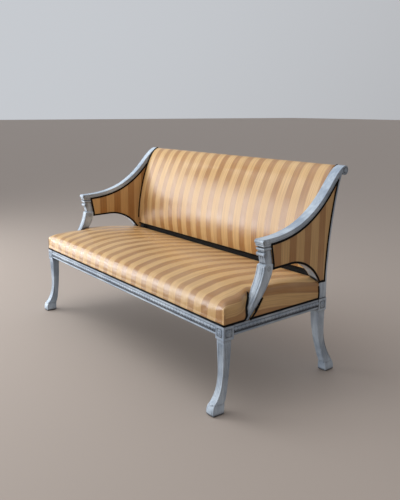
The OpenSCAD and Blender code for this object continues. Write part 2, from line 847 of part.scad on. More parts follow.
// Faces of the top and of the falls, for points that start at "base" and have this many rows of falls
function seat_faces(base, rows) = concat(
    [for (j = [0:ny - 1]) for (i = [0:nx - 1]) let (a = base + j * (nx + 1) + i)
        each quad(a, a + nx + 1, a + nx + 2, a + 1)],
    [for (k = [0:rim_n - 1]) let (l = (k + 1) % rim_n, walk = rim())
        each quad(base + walk[k][1] * (nx + 1) + walk[k][0], base + walk[l][1] * (nx + 1) + walk[l][0],
            base + top_n + l, base + top_n + k)],
    [for (row = [1:rows - 1]) for (k = [0:rim_n - 1])
        let (l = (k + 1) % rim_n, a = base + top_n + (row - 1) * rim_n)
        each quad(a + k, a + l, a + rim_n + l, a + rim_n + k)]
);

module seat_shell() {
    feet = [rail_top + gimp_w, rail_top];
    outer = seat_points(0, feet);
    n = len(outer);
    polyhedron(points = concat(outer, seat_points(cover_t, feet)), faces = concat(
        seat_faces(0, 3),
        turned_over(seat_faces(n, 3)),
        [for (k = [0:rim_n - 1]) let (l = (k + 1) % rim_n, a = n - rim_n)
            each quad(a + k, a + l, n + a + l, n + a + k)]
    ));
}

module seat_filling() {
    points = seat_points(cover_t + slack, [stuffing_z]);
    n = len(points);
    polyhedron(points = concat(points, [[0, frame_d / 2, stuffing_z]]), faces = concat(
        seat_faces(0, 2),
        [for (k = [0:rim_n - 1]) let (l = (k + 1) % rim_n) [n - rim_n + k, n - rim_n + l, n]]
    ));
}

seat_edge_z = rail_top + seat_fall - seat_round;

// Height at which the seat's top meets the inner panels ahead of the posts
seat_meets_z = rail_top + seat_fall + seat_crown * crown_side_share
    * sin(180 * pow((frame_d - post_d - gimp_w - rail_set) / (seat_back - rail_set), crown_bend_share)) + slack;

// What the seat leaves free round a support, over an arch's rear foot and ahead of a post,
// and with gimps wider on the falls
module seat_gap_shape(gimps) {
    seat_room = seat_fall + 2 * seat_crown;
    polygon(support_outline(slack));
    translate([frame_d - post_d - slack, rail_top - over]) square([frame_d, seat_room]);
    difference() {
        translate([shoulder_back, rail_top]) square([frame_d, seat_room]);
        below_arch(-slack);
    }
    if (gimps) {
        intersection() {
            polygon(support_outline(gimp_w));
            square([frame_d, seat_edge_z]);
        }
        translate([frame_d - post_d - gimp_w, rail_top - over]) square([gimp_w, seat_edge_z - rail_top + over]);
    }
}

module seat_gaps(gimps) for (side = [0, 1]) mirror([side, 0, 0]) on_right()
    side_slab(2 * block_w, 2 * block_w + inner_side + slack) seat_gap_shape(gimps);

// A flat sheet over the seat's frame, its edges this far inside the blocks' planes
module seat_sheet(z, thick, inside) difference() {
    across(inside) translate([inside, z]) square([seat_back + rail_set - 2 * inside, thick]);
    seat_gaps(false);
}

module side_gimps() side_slab(gimp_t - rail_set, gimp_t) {
    difference() {
        translate([0, rail_top]) square([frame_d - post_d, gimp_w]);
        polygon(support_outline(0));
    }
    difference() {
        intersection() {
            polygon(support_outline(gimp_w));
            translate([0, rail_top + gimp_w]) square([frame_d, seat_fall - seat_round - gimp_w]);
        }
        polygon(support_outline(0));
    }
    translate([frame_d - post_d - gimp_w, rail_top + gimp_w]) square([gimp_w, seat_fall - seat_round - gimp_w]);
}

// Back

crest_z = arm_top - web_drop;
outside_top = arm_top - outside_drop;
roll_r = scroll_r - roll_drop;

// Where a distance back along the side plane falls at the arms' inner faces, square to the front
function at_side(y) = y * cos(side_angle) - inner_side * sin(side_angle);
back_d = at_side(frame_d);
roll_mid = [at_side(scroll_mid[0]), scroll_mid[1]];

// Angles, from straight back, at which the roll's cloth and its wood end under the roll
roll_end_angle = 215;
crest_end_angle = 205;

back_run = arm_top - nose_z;
back_face = sweep_line([roll_mid[0], roll_mid[1] + roll_r], 180 + back_roll_angle, back_run * back_lean_share,
    [back_d - nose_out, nose_z], -90, back_run * back_rise_share, 16);

// From the tail of the roll over its top and down the front, to the foot and under it
back_line = concat(
    arc_line(roll_mid, roll_r, roll_end_angle - 360, 90, 9),
    tail(back_face),
    [
        [back_d - back_lip - foot_slope, back_foot_z + gimp_w],
        [back_d - back_lip, back_foot_z],
        [back_d - back_lip + turn_under, back_foot_z]
    ]
);
back_n = len(back_line);

// The posts' back face between two heights, at the arms' inner faces
function rear_slice(from, to) = [for (p = concat(
    [[post_rear_y(from), from]],
    [for (p = post_rear_line) if (p[1] > from && p[1] < to) p],
    [[post_rear_y(to), to]]
)) [at_side(p[0]), p[1]]];

// A layer of the back that lies between these depths behind the posts' back face
module back_layer(near, far, from, to) {
    line = rear_slice(from, to);
    polygon(concat(shifted(line, [-near, 0]), reversed(shifted(line, [-far, 0]))));
}

module crest_shape() {
    front = beside(back_face, -crest_pad);
    top = rear_slice(arm_top - crest_h, outside_top);
    low = rear_slice(arm_top - crest_h, crest_z);
    polygon(concat(
        shifted(top, [-frame_in, 0]),
        arc_line(roll_mid, roll_r - crest_pad, crest_end_angle - 360, 90, 12),
        [for (i = [1:len(front) - 1]) if (back_face[i][1] > crest_z + crest_pad) front[i]],
        reversed(shifted(low, [-back_web_in, 0]))
    ));
}

// How far the back's middle swells forward at this height, and at this share of its half width
function back_swell_at(z, s) = z > crest_z || z < back_foot_z ? 0
    : back_swell * sin(180 * (z - back_foot_z) / (crest_z - back_foot_z)) * (1 - pow(abs(s), swell_share));

back_shares = [-1, -0.92, -0.8, -0.6, -0.3, 0, 0.3, 0.6, 0.8, 0.92, 1];

// A skin between two lines of the same number of points, carried across the back; the inner
// line swells with the outer one by this share
module back_loft(outer, inner, inner_swell) {
    n = len(outer);
    m = len(back_shares) - 1;
    points = [for (s = back_shares) each concat(
        [for (p = outer) let (y = p[0] - back_swell_at(p[1], s)) [s * half_w(y, inner_side + slack), y, p[1]]],
        [for (p = reversed(inner)) let (y = p[0] - inner_swell * back_swell_at(p[1], s))
            [s * half_w(y, inner_side + slack), y, p[1]]]
    )];
    cap = [for (i = [0:n - 2]) each quad(i, i + 1, 2 * n - 2 - i, 2 * n - 1 - i)];
    polyhedron(points = points, faces = concat(
        turned_over(cap),
        [for (f = cap) [for (v = f) v + 2 * n * m]],
        [for (k = [0:m - 1]) for (i = [0:2 * n - 1]) let (j = (i + 1) % (2 * n), a = 2 * n * k)
            each quad(a + i, a + j, a + 2 * n + j, a + 2 * n + i)]
    ));
}

module back_skin() back_loft(back_line, beside(back_line, -cover_t), 1);

module back_filling() {
    outer = beside(back_line, -cover_t - slack);
    crest = beside(back_line, slack - crest_pad);
    last = back_n - 3;
    back_loft(
        [for (i = [0:last]) outer[i]],
        [for (i = [0:last]) let (z = back_line[i][1])
            z > crest_z + crest_pad ? crest[i] : [at_side(post_rear_y(z)) - back_t - slack, z]],
        0
    );
}

module foot_braid() {
    foot = [back_line[back_n - 3], back_line[back_n - 2]];
    back_loft(shifted(foot, [-gimp_t, 0]), foot, 1);
}

// The back seen from its end, with everything behind it, in the side's own frame
module back_end_shape() polygon([for (p = concat(
    [for (i = [9:back_n - 3]) back_line[i] - [slack, 0]],
    [[at_side(frame_d - post_d), back_foot_z + gimp_w], [at_side(frame_d - post_d), 0]],
    [[2 * frame_d, 0], [2 * frame_d, 2 * arm_top], [roll_mid[0], 2 * arm_top]]
)) [(p[0] + inner_side * sin(side_angle)) / cos(side_angle), p[1]]]);

// The pieces, each named as in the list above

module front_leg_right() color(paint) in_place() front_leg();
module front_leg_left() mirror([1, 0, 0]) front_leg_right();
module rear_leg_right() color(paint) in_place() on_right() rear_leg();
module rear_leg_left() mirror([1, 0, 0]) rear_leg_right();

module front_seat_rail() color(paint) in_place() front_rail_shape();
module rear_seat_rail() color(paint) in_place() rear_rail_shape();
module side_seat_rail_right() color(paint) in_place() difference() {
    on_right() side_rail();
    screw_holes();
}
module side_seat_rail_left() mirror([1, 0, 0]) side_seat_rail_right();

module seat_stretcher() color(bare_wood) in_place()
    translate([-stretcher_w / 2, inner_front, web_z - stretcher_drop - stretcher_h])
        cube([stretcher_w, inner_rear - inner_front, stretcher_h]);
module glue_blocks() color(bare_wood) in_place() for (side = [0, 1]) mirror([side, 0, 0]) right_glue_blocks();
module glue_block_screws() color(steel) in_place() screws(0, screw_head_h);

module arm_support_right() color(paint) in_place() on_right() arm_support();
module arm_support_left() mirror([1, 0, 0]) arm_support_right();
module arm_rail_right() color(paint) in_place() on_right() arm_rail();
module arm_rail_left() mirror([1, 0, 0]) arm_rail_right();
module arched_rail_right() color(paint) in_place() on_right() arched_rail();
module arched_rail_left() mirror([1, 0, 0]) arched_rail_right();

module crest_rail() color(bare_wood) in_place() across(inner_side) crest_shape();
module lower_back_rail() color(bare_wood) in_place() across(inner_side)
    back_layer(frame_in, back_web_in, back_foot_z + tack_in, back_foot_z + tack_in + back_rail_h);
module back_stays() color(bare_wood) in_place() for (side = [-1, 1])
    side_slab(side * (half_w(frame_d, inner_side) - stay_w) / 3 + stay_w / 2, stay_w)
        back_layer(frame_in, back_web_in, back_foot_z + tack_in + back_rail_h, arm_top - crest_h);

module seat_cross_webbing() color(jute) in_place() {
    half = half_w(frame_d, inner_side) - web_w;
    for (i = [0:cross_webs - 1])
        side_slab(half * (2 * i / (cross_webs - 1) - 1) + web_w / 2, web_w)
            translate([rail_set + 2 * tack_in, web_z]) square([seat_back - rail_set - 4 * tack_in, web_t]);
}
module seat_long_webbing() color(jute) in_place() {
    pitch = (inner_rear - web_w - long_web_back) / (long_webs - 1);
    across(rail_set + 2 * tack_in) for (i = [0:long_webs - 1])
        translate([long_web_back + i * pitch, web_z + web_t]) square([web_w, web_t]);
}
module seat_hessian() color(linen) in_place() seat_sheet(hessian_z, hessian_t, rail_set + 2 * tack_in);
module dust_cover() color(linen) in_place() difference() {
    across(inner_front / 2) translate([inner_front / 2, rail_bottom - dust_t])
        square([seat_back - inner_front, dust_t]);
    for (side = [0, 1]) mirror([side, 0, 0]) {
        translate([frame_w / 2 - block_w, 0, 0]) cube([block_w, block_w, arm_top]);
        on_right() translate([-block_w, frame_d - block_w, 0]) cube([block_w, block_w, arm_top]);
    }
}
module seat_stuffing() color(wadding) in_place() difference() {
    seat_filling();
    seat_gaps(true);
}
module seat_cover() color(gold_cloth) in_place() difference() {
    seat_shell();
    seat_gaps(true);
}
module seat_gimp() color(black_braid) in_place() across(rail_set - gimp_t)
    translate([rail_set - gimp_t, rail_top]) square([gimp_t, gimp_w]);
module seat_gimp_right() color(black_braid) in_place() difference() {
    on_right() side_gimps();
    translate([0, rail_set - frame_d, 0]) cube([frame_w, frame_d, arm_top]);
}
module seat_gimp_left() mirror([1, 0, 0]) seat_gimp_right();

module back_webbing() color(jute) in_place() {
    half = half_w(frame_d, inner_side) - web_w;
    for (i = [0:back_webs - 1])
        side_slab(half * (2 * i / (back_webs - 1) - 1) + web_w / 2, web_w)
            back_layer(back_web_in, back_hessian_in, back_foot_z + 2 * tack_in, crest_z - tack_in);
}
module back_hessian() color(linen) in_place() across(inner_side + tack_in)
    back_layer(back_hessian_in, back_t, back_foot_z + 2 * tack_in, crest_z - tack_in);
module back_stuffing() color(wadding) in_place() back_filling();
module back_cover() color(gold_cloth) in_place() back_skin();
module outside_back_cover() color(gold_cloth) in_place() across(inner_side + slack)
    back_layer(cover_t, frame_in, rail_top + slack, outside_top);
module back_foot_gimp() color(black_braid) in_place() foot_braid();
module outside_back_gimp() color(black_braid) in_place() difference() {
    across(inner_side + slack) back_layer(cover_t - gimp_t, cover_t, rail_top + slack, outside_top);
    across(inner_side + slack + gimp_w)
        back_layer(-cover_t, frame_in, rail_top + slack + gimp_w, outside_top - gimp_w);
}

module arm_hessian_right() color(linen) in_place() on_right()
    side_slab(-arm_in - tack_in, hessian_t) side_opening(slack);
module arm_hessian_left() mirror([1, 0, 0]) arm_hessian_right();
module arm_stuffing_right() color(wadding) in_place() on_right()
    side_slab(-arm_in - tack_in - hessian_t, arm_w - 2 * tack_in - hessian_t) side_opening(slack);
module arm_stuffing_left() mirror([1, 0, 0]) arm_stuffing_right();
module outer_arm_cover_right() color(gold_cloth) in_place() on_right()
    side_slab(-arm_in, cover_t) side_panel(slack, post_strip);
module outer_arm_cover_left() mirror([1, 0, 0]) outer_arm_cover_right();
module inner_arm_cover_right() color(gold_cloth) in_place() on_right()
    side_slab(-inner_side + cover_t, cover_t) side_panel(slack, back_t);
module inner_arm_cover_left() mirror([1, 0, 0]) inner_arm_cover_right();
module outer_arm_gimp_right() color(black_braid) in_place() on_right()
    side_slab(gimp_t - arm_in, gimp_t) difference() {
        side_panel(slack, post_strip);
        side_panel(gimp_w, post_strip);
    }
module outer_arm_gimp_left() mirror([1, 0, 0]) outer_arm_gimp_right();
module inner_arm_gimp_right() color(black_braid) in_place() on_right()
    side_slab(-inner_side, gimp_t) difference() {
        side_panel(slack, back_t);
        side_panel(gimp_w, back_t);
        back_end_shape();
        square([frame_d, seat_meets_z]);
    }
module inner_arm_gimp_left() mirror([1, 0, 0]) inner_arm_gimp_right();

front_leg_left();
front_leg_right();
rear_leg_left();
rear_leg_right();
front_seat_rail();
rear_seat_rail();
side_seat_rail_left();
side_seat_rail_right();
seat_stretcher();
glue_blocks();
glue_block_screws();
arm_support_left();
arm_support_right();
arm_rail_left();
arm_rail_right();
arched_rail_left();
arched_rail_right();
crest_rail();
lower_back_rail();
back_stays();
seat_cross_webbing();
seat_long_webbing();
seat_hessian();
seat_stuffing();
seat_cover();
seat_gimp();
seat_gimp_left();
seat_gimp_right();
dust_cover();
back_webbing();
back_hessian();
back_stuffing();
back_cover();
outside_back_cover();
back_foot_gimp();
outside_back_gimp();
arm_hessian_left();
arm_hessian_right();
arm_stuffing_left();
arm_stuffing_right();
inner_arm_cover_left();
inner_arm_cover_right();
outer_arm_cover_left();
outer_arm_cover_right();
inner_arm_gimp_left();
inner_arm_gimp_right();
outer_arm_gimp_left();
outer_arm_gimp_right();
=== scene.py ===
import math
import bpy
import bmesh
import numpy as np
from mathutils import Matrix, Vector
from mathutils.bvhtree import BVHTree


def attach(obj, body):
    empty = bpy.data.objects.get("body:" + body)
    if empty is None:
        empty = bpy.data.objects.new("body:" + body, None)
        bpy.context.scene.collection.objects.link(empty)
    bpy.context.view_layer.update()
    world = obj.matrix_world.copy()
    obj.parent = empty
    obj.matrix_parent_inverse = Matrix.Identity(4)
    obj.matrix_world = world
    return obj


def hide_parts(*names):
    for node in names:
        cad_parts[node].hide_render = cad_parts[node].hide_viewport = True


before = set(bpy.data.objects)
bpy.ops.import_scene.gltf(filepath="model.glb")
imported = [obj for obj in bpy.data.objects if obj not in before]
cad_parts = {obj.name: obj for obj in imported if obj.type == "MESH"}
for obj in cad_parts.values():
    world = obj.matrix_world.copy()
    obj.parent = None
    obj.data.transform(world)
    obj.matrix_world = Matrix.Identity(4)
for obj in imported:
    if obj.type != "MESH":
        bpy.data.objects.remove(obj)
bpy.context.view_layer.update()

scene = bpy.context.scene

# Measures of the settee that several pieces share, in millimetres. Heights stand on the floor,
# "back" runs from the front rail's face, and middle is where the model's Y is zero.
settee = {
    "width": 1634, "depth": 606, "taper": 44, "middle": 335.414, "railTop": 355, "railSet": 1.5,
    "blockWidth": 50, "blockMid": 327.5, "armOut": 4, "armWidth": 44, "slack": 0.3,
    "gimpWidth": 9, "gimpThick": 2.4, "backFoot": 106, "postFront": 555.7, "shoulder": 556, "armFront": 661,
    "postKnee": 440, "postTop": 850, "archHalf": 181, "archRise": 112, "archTop": 539,
}
sideAngle = math.atan(settee["taper"] / settee["depth"])
sideCos, sideSin = math.cos(sideAngle), math.sin(sideAngle)
innerSide = settee["armOut"] + settee["armWidth"]
halfFront, railTop, slack = settee["width"] / 2, settee["railTop"], settee["slack"]
postBack, shoulder, armFront = settee["depth"], settee["shoulder"], settee["armFront"]
bothSides = ((1, "right"), (-1, "left"))


# Lines, all as rows of [back, height] in millimetres

def point(*measures):
    return np.array(measures, float)

def turned(angle):
    return point(math.cos(math.radians(angle)), math.sin(math.radians(angle)))

def sweepLine(start, startAngle, startRun, end, endAngle, endRun, steps):
    a, d = point(*start), point(*end)
    b, c = a + startRun * turned(startAngle), d - endRun * turned(endAngle)
    return [(1 - t) ** 3 * a + 3 * (1 - t) ** 2 * t * b + 3 * (1 - t) * t * t * c + t ** 3 * d
            for t in np.linspace(0, 1, steps + 1)]

def arcLine(centre, radius, startAngle, endAngle, steps):
    return [centre + radius * turned(a) for a in np.linspace(startAngle, endAngle, steps + 1)]

def beside(line, off):   # the line moved to its right as it runs
    line = np.array(line, float)
    run = line[[*range(1, len(line)), -1]] - line[[0, *range(len(line) - 1)]]
    return line + off * np.stack([run[:, 1], -run[:, 0]], 1) / np.hypot(*run.T)[:, None]

def lengths(line):
    return np.concatenate([[0], np.cumsum(np.linalg.norm(np.diff(np.array(line, float), axis=0), axis=1))])

def evenly(line, count):   # the same line as count + 1 points at equal steps
    line, walked = np.array(line, float), lengths(line)
    at = np.linspace(0, walked[-1], count + 1)
    return np.stack([np.interp(at, walked, line[:, k]) for k in range(line.shape[1])], 1)

def crossing(first, second):   # where two lines meet: the point and the segment of each
    over = lambda a, b: a[0] * b[1] - a[1] * b[0]
    for i in range(len(first) - 1):
        for j in range(len(second) - 1):
            p, q = first[i], second[j]
            r, s = first[i + 1] - p, second[j + 1] - q
            if abs(over(r, s)) < 1e-9:
                continue
            t, u = over(q - p, s) / over(r, s), over(q - p, r) / over(r, s)
            if 0 <= t <= 1 and 0 <= u <= 1:
                return p + t * r, i, j
    raise ValueError("two lines of the side don't meet")

def stretch(line, start, end):   # the part of a line between two (point, segment) places on it
    if start[1] <= end[1]:
        return [start[0], *line[start[1] + 1:end[1] + 1], end[0]]
    return stretch(line, end, start)[::-1]

def lineAt(line, height):   # the first measure of a line at a height, the line rising or falling
    line = np.array(line)
    line = line[np.argsort(line[:, 1])]
    return float(np.interp(height, line[:, 1], line[:, 0]))

armStart, armBend, armPeak = point(206, armFront), point(610, 848), point(697, 920)
armRun = np.linalg.norm(armBend - armStart)
scrollMid = armPeak - [0, 20]
armTopLine = (sweepLine(armStart, 0, armRun * 0.393, armBend, 51, armRun * 0.386, 40)
              + sweepLine(armBend, 51, 26, armPeak, 0, 26, 12)[1:])

def armUnder(drop):   # the arm's underside, moved down
    return [armStart - [5 + drop, 20 + drop], *beside(armTopLine, 20 + drop)[:48]]

knee, postTop = settee["postKnee"], settee["postTop"]
postLine = [point(postBack, railTop), *sweepLine([postBack, knee], 90, (postTop - knee) * 0.185, [664, postTop], 73,
                                                 (postTop - knee) * 0.356, 24)]
postLine.append(postLine[-1] + 40 * turned(73))
archRadius = (settee["archHalf"] ** 2 + settee["archRise"] ** 2) / (2 * settee["archRise"])
archMid = point(postBack - settee["blockWidth"] - settee["archHalf"], settee["archTop"] - archRadius)
panelFoot = settee["archTop"] - settee["archRise"]

def archLine(off, endHeight):
    endAngle = math.degrees(math.asin((endHeight - archMid[1]) / (archRadius + off)))
    return [point(250, 533 + off), *arcLine(archMid, archRadius + off, 90, endAngle, 30)]

def supportFront(gap):
    line = [point(208, armFront), point(208, 634), *arcLine([216, 622], 6, 90, 270, 8), point(228, 562),
            *sweepLine([219, shoulder], -96, 66, [110, railTop], 230, 82, 24)]
    return [p - [gap, 0] for p in line]

def supportRear(gap):
    line = sweepLine([136, railTop], 50, 65, [264, shoulder], 96, 66, 24)
    return [p + [gap, 0] for p in [*line, point(245, armFront)]]

supportShaft, supportBack = ([p for p in line if p[1] <= shoulder] for line in (supportFront(0), supportRear(0)))

def panelEdges(off, strip, arch=0):   # front, top, rear and bottom of the field between support, arm, post and arch
    foot = panelFoot + off + arch
    edges = [[point(245 + off, armFront), point(264 + off, shoulder), point(264 + off, railTop)], armUnder(off),
             [p - [strip + off, 0] for p in postLine], [*archLine(off + arch, foot), point(1200, foot)]]
    meets = [crossing(a, b) for a, b in zip(edges, edges[1:] + edges[:1])]
    return [stretch(edge, (before[0], before[2]), (after[0], after[1]))
            for edge, before, after in zip(edges, meets[-1:] + meets, meets)]

def atSide(back):   # a distance back along the side, at the arm's inner face, square to the front
    return back * sideCos - innerSide * sideSin

rollMid, backFoot = point(atSide(scrollMid[0]), scrollMid[1]), atSide(postBack)
backFaceLine = sweepLine([rollMid[0], 919], 188, 418 * 0.175, [backFoot - 48, 502], -90, 418 * 0.311, 60)
backLine = (arcLine(rollMid, 19, 215 - 360, 90, 22) + backFaceLine[1:]
            + [point(backFoot - 41, 470), point(backFoot - 37, 461)])

def halfWidth(back, inside=innerSide + slack):
    return halfFront - settee["taper"] * back / settee["depth"] - inside / sideCos

def postAt(height):   # the post's rear edge, square to the front
    return atSide(lineAt(postLine, height))


# From the settee's own measures to the model's metres

def place(x, back, height):
    return Vector((x, back - settee["middle"], height)) / 1000

def placeSide(out, back, height, side=1):   # out is measured square from the plane of the corner blocks
    return place(side * (halfFront + out * sideCos - back * sideSin), out * sideSin + back * sideCos, height)


# Nodes and meshes

def tint(red, green, blue):
    linear = [c / 255 / 12.92 if c <= 10 else ((c / 255 + 0.055) / 1.055) ** 2.4 for c in (red, green, blue)]
    return (*linear, 1)

def addNode(tree, kind, inputs=None, output=0, **settings):
    made = tree.nodes.new("ShaderNode" + kind)
    for key, value in settings.items():
        setattr(made, key, value)
    for key, value in (inputs or {}).items():
        plug(made.inputs[key], value)
    return Wire(made.outputs[output])

def plug(socket, value):
    if isinstance(value, Wire):
        socket.id_data.links.new(value.socket, socket)
    else:
        socket.default_value = value

def reckon(operation, swapped=False):
    def work(first, second=0.0):
        pair = (second, first) if swapped else (first, second)
        return addNode(first.tree, "Math", dict(enumerate(pair)), operation=operation)
    return work

class Wire:   # a node's output that adds and multiplies like a number
    def __init__(self, socket):
        self.socket, self.tree = socket, socket.id_data

    __add__, __sub__, __rsub__ = reckon("ADD"), reckon("SUBTRACT"), reckon("SUBTRACT", True)
    __mul__, __truediv__, __abs__ = reckon("MULTIPLY"), reckon("DIVIDE"), reckon("ABSOLUTE")
    sine, fraction = reckon("SINE"), reckon("FRACT")

def parts(wire):   # the three measures of a place or of a cut
    return [Wire(socket) for socket in addNode(wire.tree, "SeparateXYZ", {0: wire}).socket.node.outputs]

def spread(value, low, high, toLow=0.0, toHigh=1.0):   # soft step between two values
    return addNode(value.tree, "MapRange", {"Value": value, "From Min": low, "From Max": high, "To Min": toLow,
                                            "To Max": toHigh}, "Result", interpolation_type="SMOOTHSTEP")

def blendColour(share, first, second, how="MIX"):
    return addNode(share.tree, "Mix", {0: share, 6: first, 7: second}, 2, data_type="RGBA", blend_type=how)

def grain(where, scale, detail=3.0, rough=0.55, stretchBy=None):
    if stretchBy:
        where = addNode(where.tree, "Mapping", {"Vector": where, "Scale": stretchBy})
    look = {"Vector": where, "Scale": scale, "Detail": detail, "Roughness": rough}
    return addNode(where.tree, "TexNoise", look, "Fac")

def newFinish(name, values):
    finish = bpy.data.materials.new(name)
    finish.use_nodes = True
    for key, value in values.items():
        plug(finish.node_tree.nodes["Principled BSDF"].inputs[key], value)
    return finish

def placed(finish):   # where a point lies in the model
    return addNode(finish.node_tree, "TexCoord", None, "Object")

def cutOf(finish):   # where a point lies on its cut of cloth, with its two measures
    cut = addNode(finish.node_tree, "UVMap", uv_map="cut")
    return cut, *parts(cut)[:2]

def dress(finish, colour, bump, rough=None):   # links a finish's last values to its shader
    tree = finish.node_tree
    links = {"Base Color": colour, "Roughness": rough}
    if bump:
        links["Normal"] = addNode(tree, "Bump", bump)
    for key, value in links.items():
        if value:
            plug(tree.nodes["Principled BSDF"].inputs[key], value)
    return finish

def makeMesh(name, points, faces, finish, uvs=None, smooth=True):
    mesh = bpy.data.meshes.new(name)
    mesh.from_pydata([tuple(p) for p in points], [], faces)
    if uvs is not None:   # one (across, along) pair in metres for each corner of each face
        layer = mesh.uv_layers.new(name="cut")
        layer.data.foreach_set("uv", np.array([c for face in uvs for c in face], np.float32).ravel())
    mesh.materials.append(finish)
    mesh.polygons.foreach_set("use_smooth", [smooth] * len(mesh.polygons))
    mesh.update()
    return shown(name, mesh)

def shown(name, data):
    piece = bpy.data.objects.new(name, data)
    scene.collection.objects.link(piece)
    return piece

def cells(rows, columns):   # the four (row, column) corners of each cell of a grid
    return [[(j, i), (j, i + 1), (j + 1, i + 1), (j + 1, i)] for j in range(rows) for i in range(columns)]

def rimOf(rows, columns):   # the steps round a grid's edge
    return ([(0, i) for i in range(columns)] + [(j, columns) for j in range(rows)]
            + [(rows, i) for i in range(columns, 0, -1)] + [(j, 0) for j in range(rows, 0, -1)])

def following(ring):   # each item of a closed ring with the next one
    return zip(ring, ring[1:] + ring[:1])

def slab(rows, columns):   # the faces of two grids joined round their edge, as (layer, row, column) corners
    made = []
    for cell in cells(rows, columns):
        made += [[(0, *c) for c in cell], [(1, *c) for c in (cell[0], *cell[:0:-1])]]
    return made + [[(0, *a), (1, *a), (1, *b), (0, *b)] for a, b in following(rimOf(rows, columns))]

def slabFaces(rows, columns, start=0):
    number = lambda layer, j, i: start + (layer * (rows + 1) + j) * (columns + 1) + i
    return [[number(*corner) for corner in face] for face in slab(rows, columns)]

def tubeFaces(start, rings, around):   # quads between rings of points that follow each other
    return [[a + i, a + j, a + around + j, a + around + i]
            for a in range(start, start + (rings - 1) * around, around) for i, j in following([*range(around)])]

def tubeEnds(start, rings, around):
    return [[end + i for i in range(around)] for end in (start, start + (rings - 1) * around)]

def layered(name, front, behind, cuts, finish, shadeLining=None):   # two grids of points joined round their edge
    rows, columns = len(front) - 1, len(front[0]) - 1
    faces = slabFaces(rows, columns)
    uvs = [[cuts[j][i] for _, j, i in face] for face in slab(rows, columns)]
    piece = makeMesh(name, [p for row in [*front, *behind] for p in row], faces, finish, uvs)
    if shadeLining:   # the side that faces away gets its own cloth; on the outside back it is dark, painted shade for the gap under the back
        piece.data.materials.append(shadeLining)
        second = [k % 2 * (k < 2 * rows * columns) for k in range(len(faces))]
        piece.data.polygons.foreach_set("material_index", second)
    return outsideOut(piece)

def opened(piece):
    work = bmesh.new()
    work.from_mesh(piece.data)
    return work

def closed(work, mesh):
    work.to_mesh(mesh)
    work.free()

def outsideOut(piece, join=1e-6):
    work = opened(piece)
    if join:
        bmesh.ops.remove_doubles(work, verts=work.verts, dist=join)
    bmesh.ops.recalc_face_normals(work, faces=work.faces)
    closed(work, piece.data)
    return piece

def treeOf(piece):
    work = opened(piece)
    tree = BVHTree.FromBMesh(work)
    work.free()
    return tree

def settle(piece, slot, *replaced):   # every piece rides on the frame and the frame's pieces it replaces are hidden; the slot is not used
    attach(piece, "root")
    if replaced:
        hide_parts(*replaced)
    return piece


# Camera, first, so that every later look is through it

cameraLook = {"turn": 53.56, "tilt": 12.67, "roll": 0.25, "lens": 44.65,
              "stand": (2.530, -1.7044, 1.152), "shift": (-0.0031, -0.0034)}

def setCamera(look):
    data = bpy.data.cameras.new("camera")
    data.lens, data.sensor_width = look["lens"], 36
    data.shift_x, data.shift_y = look["shift"]
    data.clip_start = 0.05
    turn, tilt, roll = (math.radians(look[k]) for k in ("turn", "tilt", "roll"))
    scene.camera = shown("camera", data)
    scene.camera.matrix_world = (Matrix.Translation(look["stand"]) @ Matrix.Rotation(turn, 4, "Z")
                                 @ Matrix.Rotation(math.pi / 2 - tilt, 4, "X") @ Matrix.Rotation(roll, 4, "Z"))

setCamera(cameraLook)
print("camera stands")


# Finishes

paintLook = {
    "light": tint(206, 218, 229), "dark": tint(152, 167, 185), "undercoat": tint(232, 235, 236),
    "bareWood": tint(112, 84, 60), "hollowShadeAndGrime": tint(52, 54, 60), "roughness": (0.42, 0.6), "edge": 0.0022, "wear": 0.75,
}

def paintedWood(name, grainAlong, look):
    finish = newFinish(name, {"Specular IOR Level": 0.45, "Coat Weight": 0.06, "Coat Roughness": 0.4})
    where, tree = placed(finish), finish.node_tree
    rounded = addNode(tree, "Bevel", {"Radius": look["edge"]}, samples=4)
    facing = addNode(tree, "NewGeometry", None, "Normal")
    edge = 1.0 - addNode(tree, "VectorMath", {0: rounded, 1: facing}, "Value", operation="DOT_PRODUCT")
    brush, chips = grain(where, 60, 3, 0.6, grainAlong), grain(where, 130, 5, 0.7)
    tone = grain(where, 7, 4) * 0.65 + brush * 0.35
    colour = blendColour(spread(tone, 0.36, 0.66), look["dark"], look["light"])
    worn = spread(edge, 0.02, 0.22) * spread(chips, 0.42, 0.58) * look["wear"]
    colour = blendColour(worn, colour, look["undercoat"])
    deep = spread(edge, 0.06, 0.3) * spread(grain(where, 38, 4, 0.65), 0.6, 0.68) * 0.85
    specks = spread(grain(where, 210, 2, 0.5), 0.73, 0.77) * 0.5
    for share in (deep, specks):
        colour = blendColour(share, colour, look["bareWood"])
    # painted shade and grime: the paint darkens towards its darkest colour in hollows, corners and between parts,
    # where ambient occlusion finds them
    hollowShade = addNode(tree, "AmbientOcclusion", {"Distance": 0.016}, "AO", samples=8)
    colour = blendColour(spread(hollowShade, 0.5, 1.0, 0.97, 0.0), colour, look["hollowShadeAndGrime"])
    relief = {"Strength": 0.25, "Distance": 0.0006, "Height": brush * 0.5 + chips * 0.5, "Normal": rounded}
    return dress(finish, colour, relief, spread(tone, 0.3, 0.7, *look["roughness"]))

satinLook = {
    "light": tint(216, 174, 113), "dark": tint(177, 126, 67), "warp": tint(150, 104, 52), "pale": tint(236, 206, 160),
    "pitch": 0.090, "share": 0.46, "soft": 0.012, "lightRough": 0.38, "darkRough": 0.29, "thread": 0.0007,
}

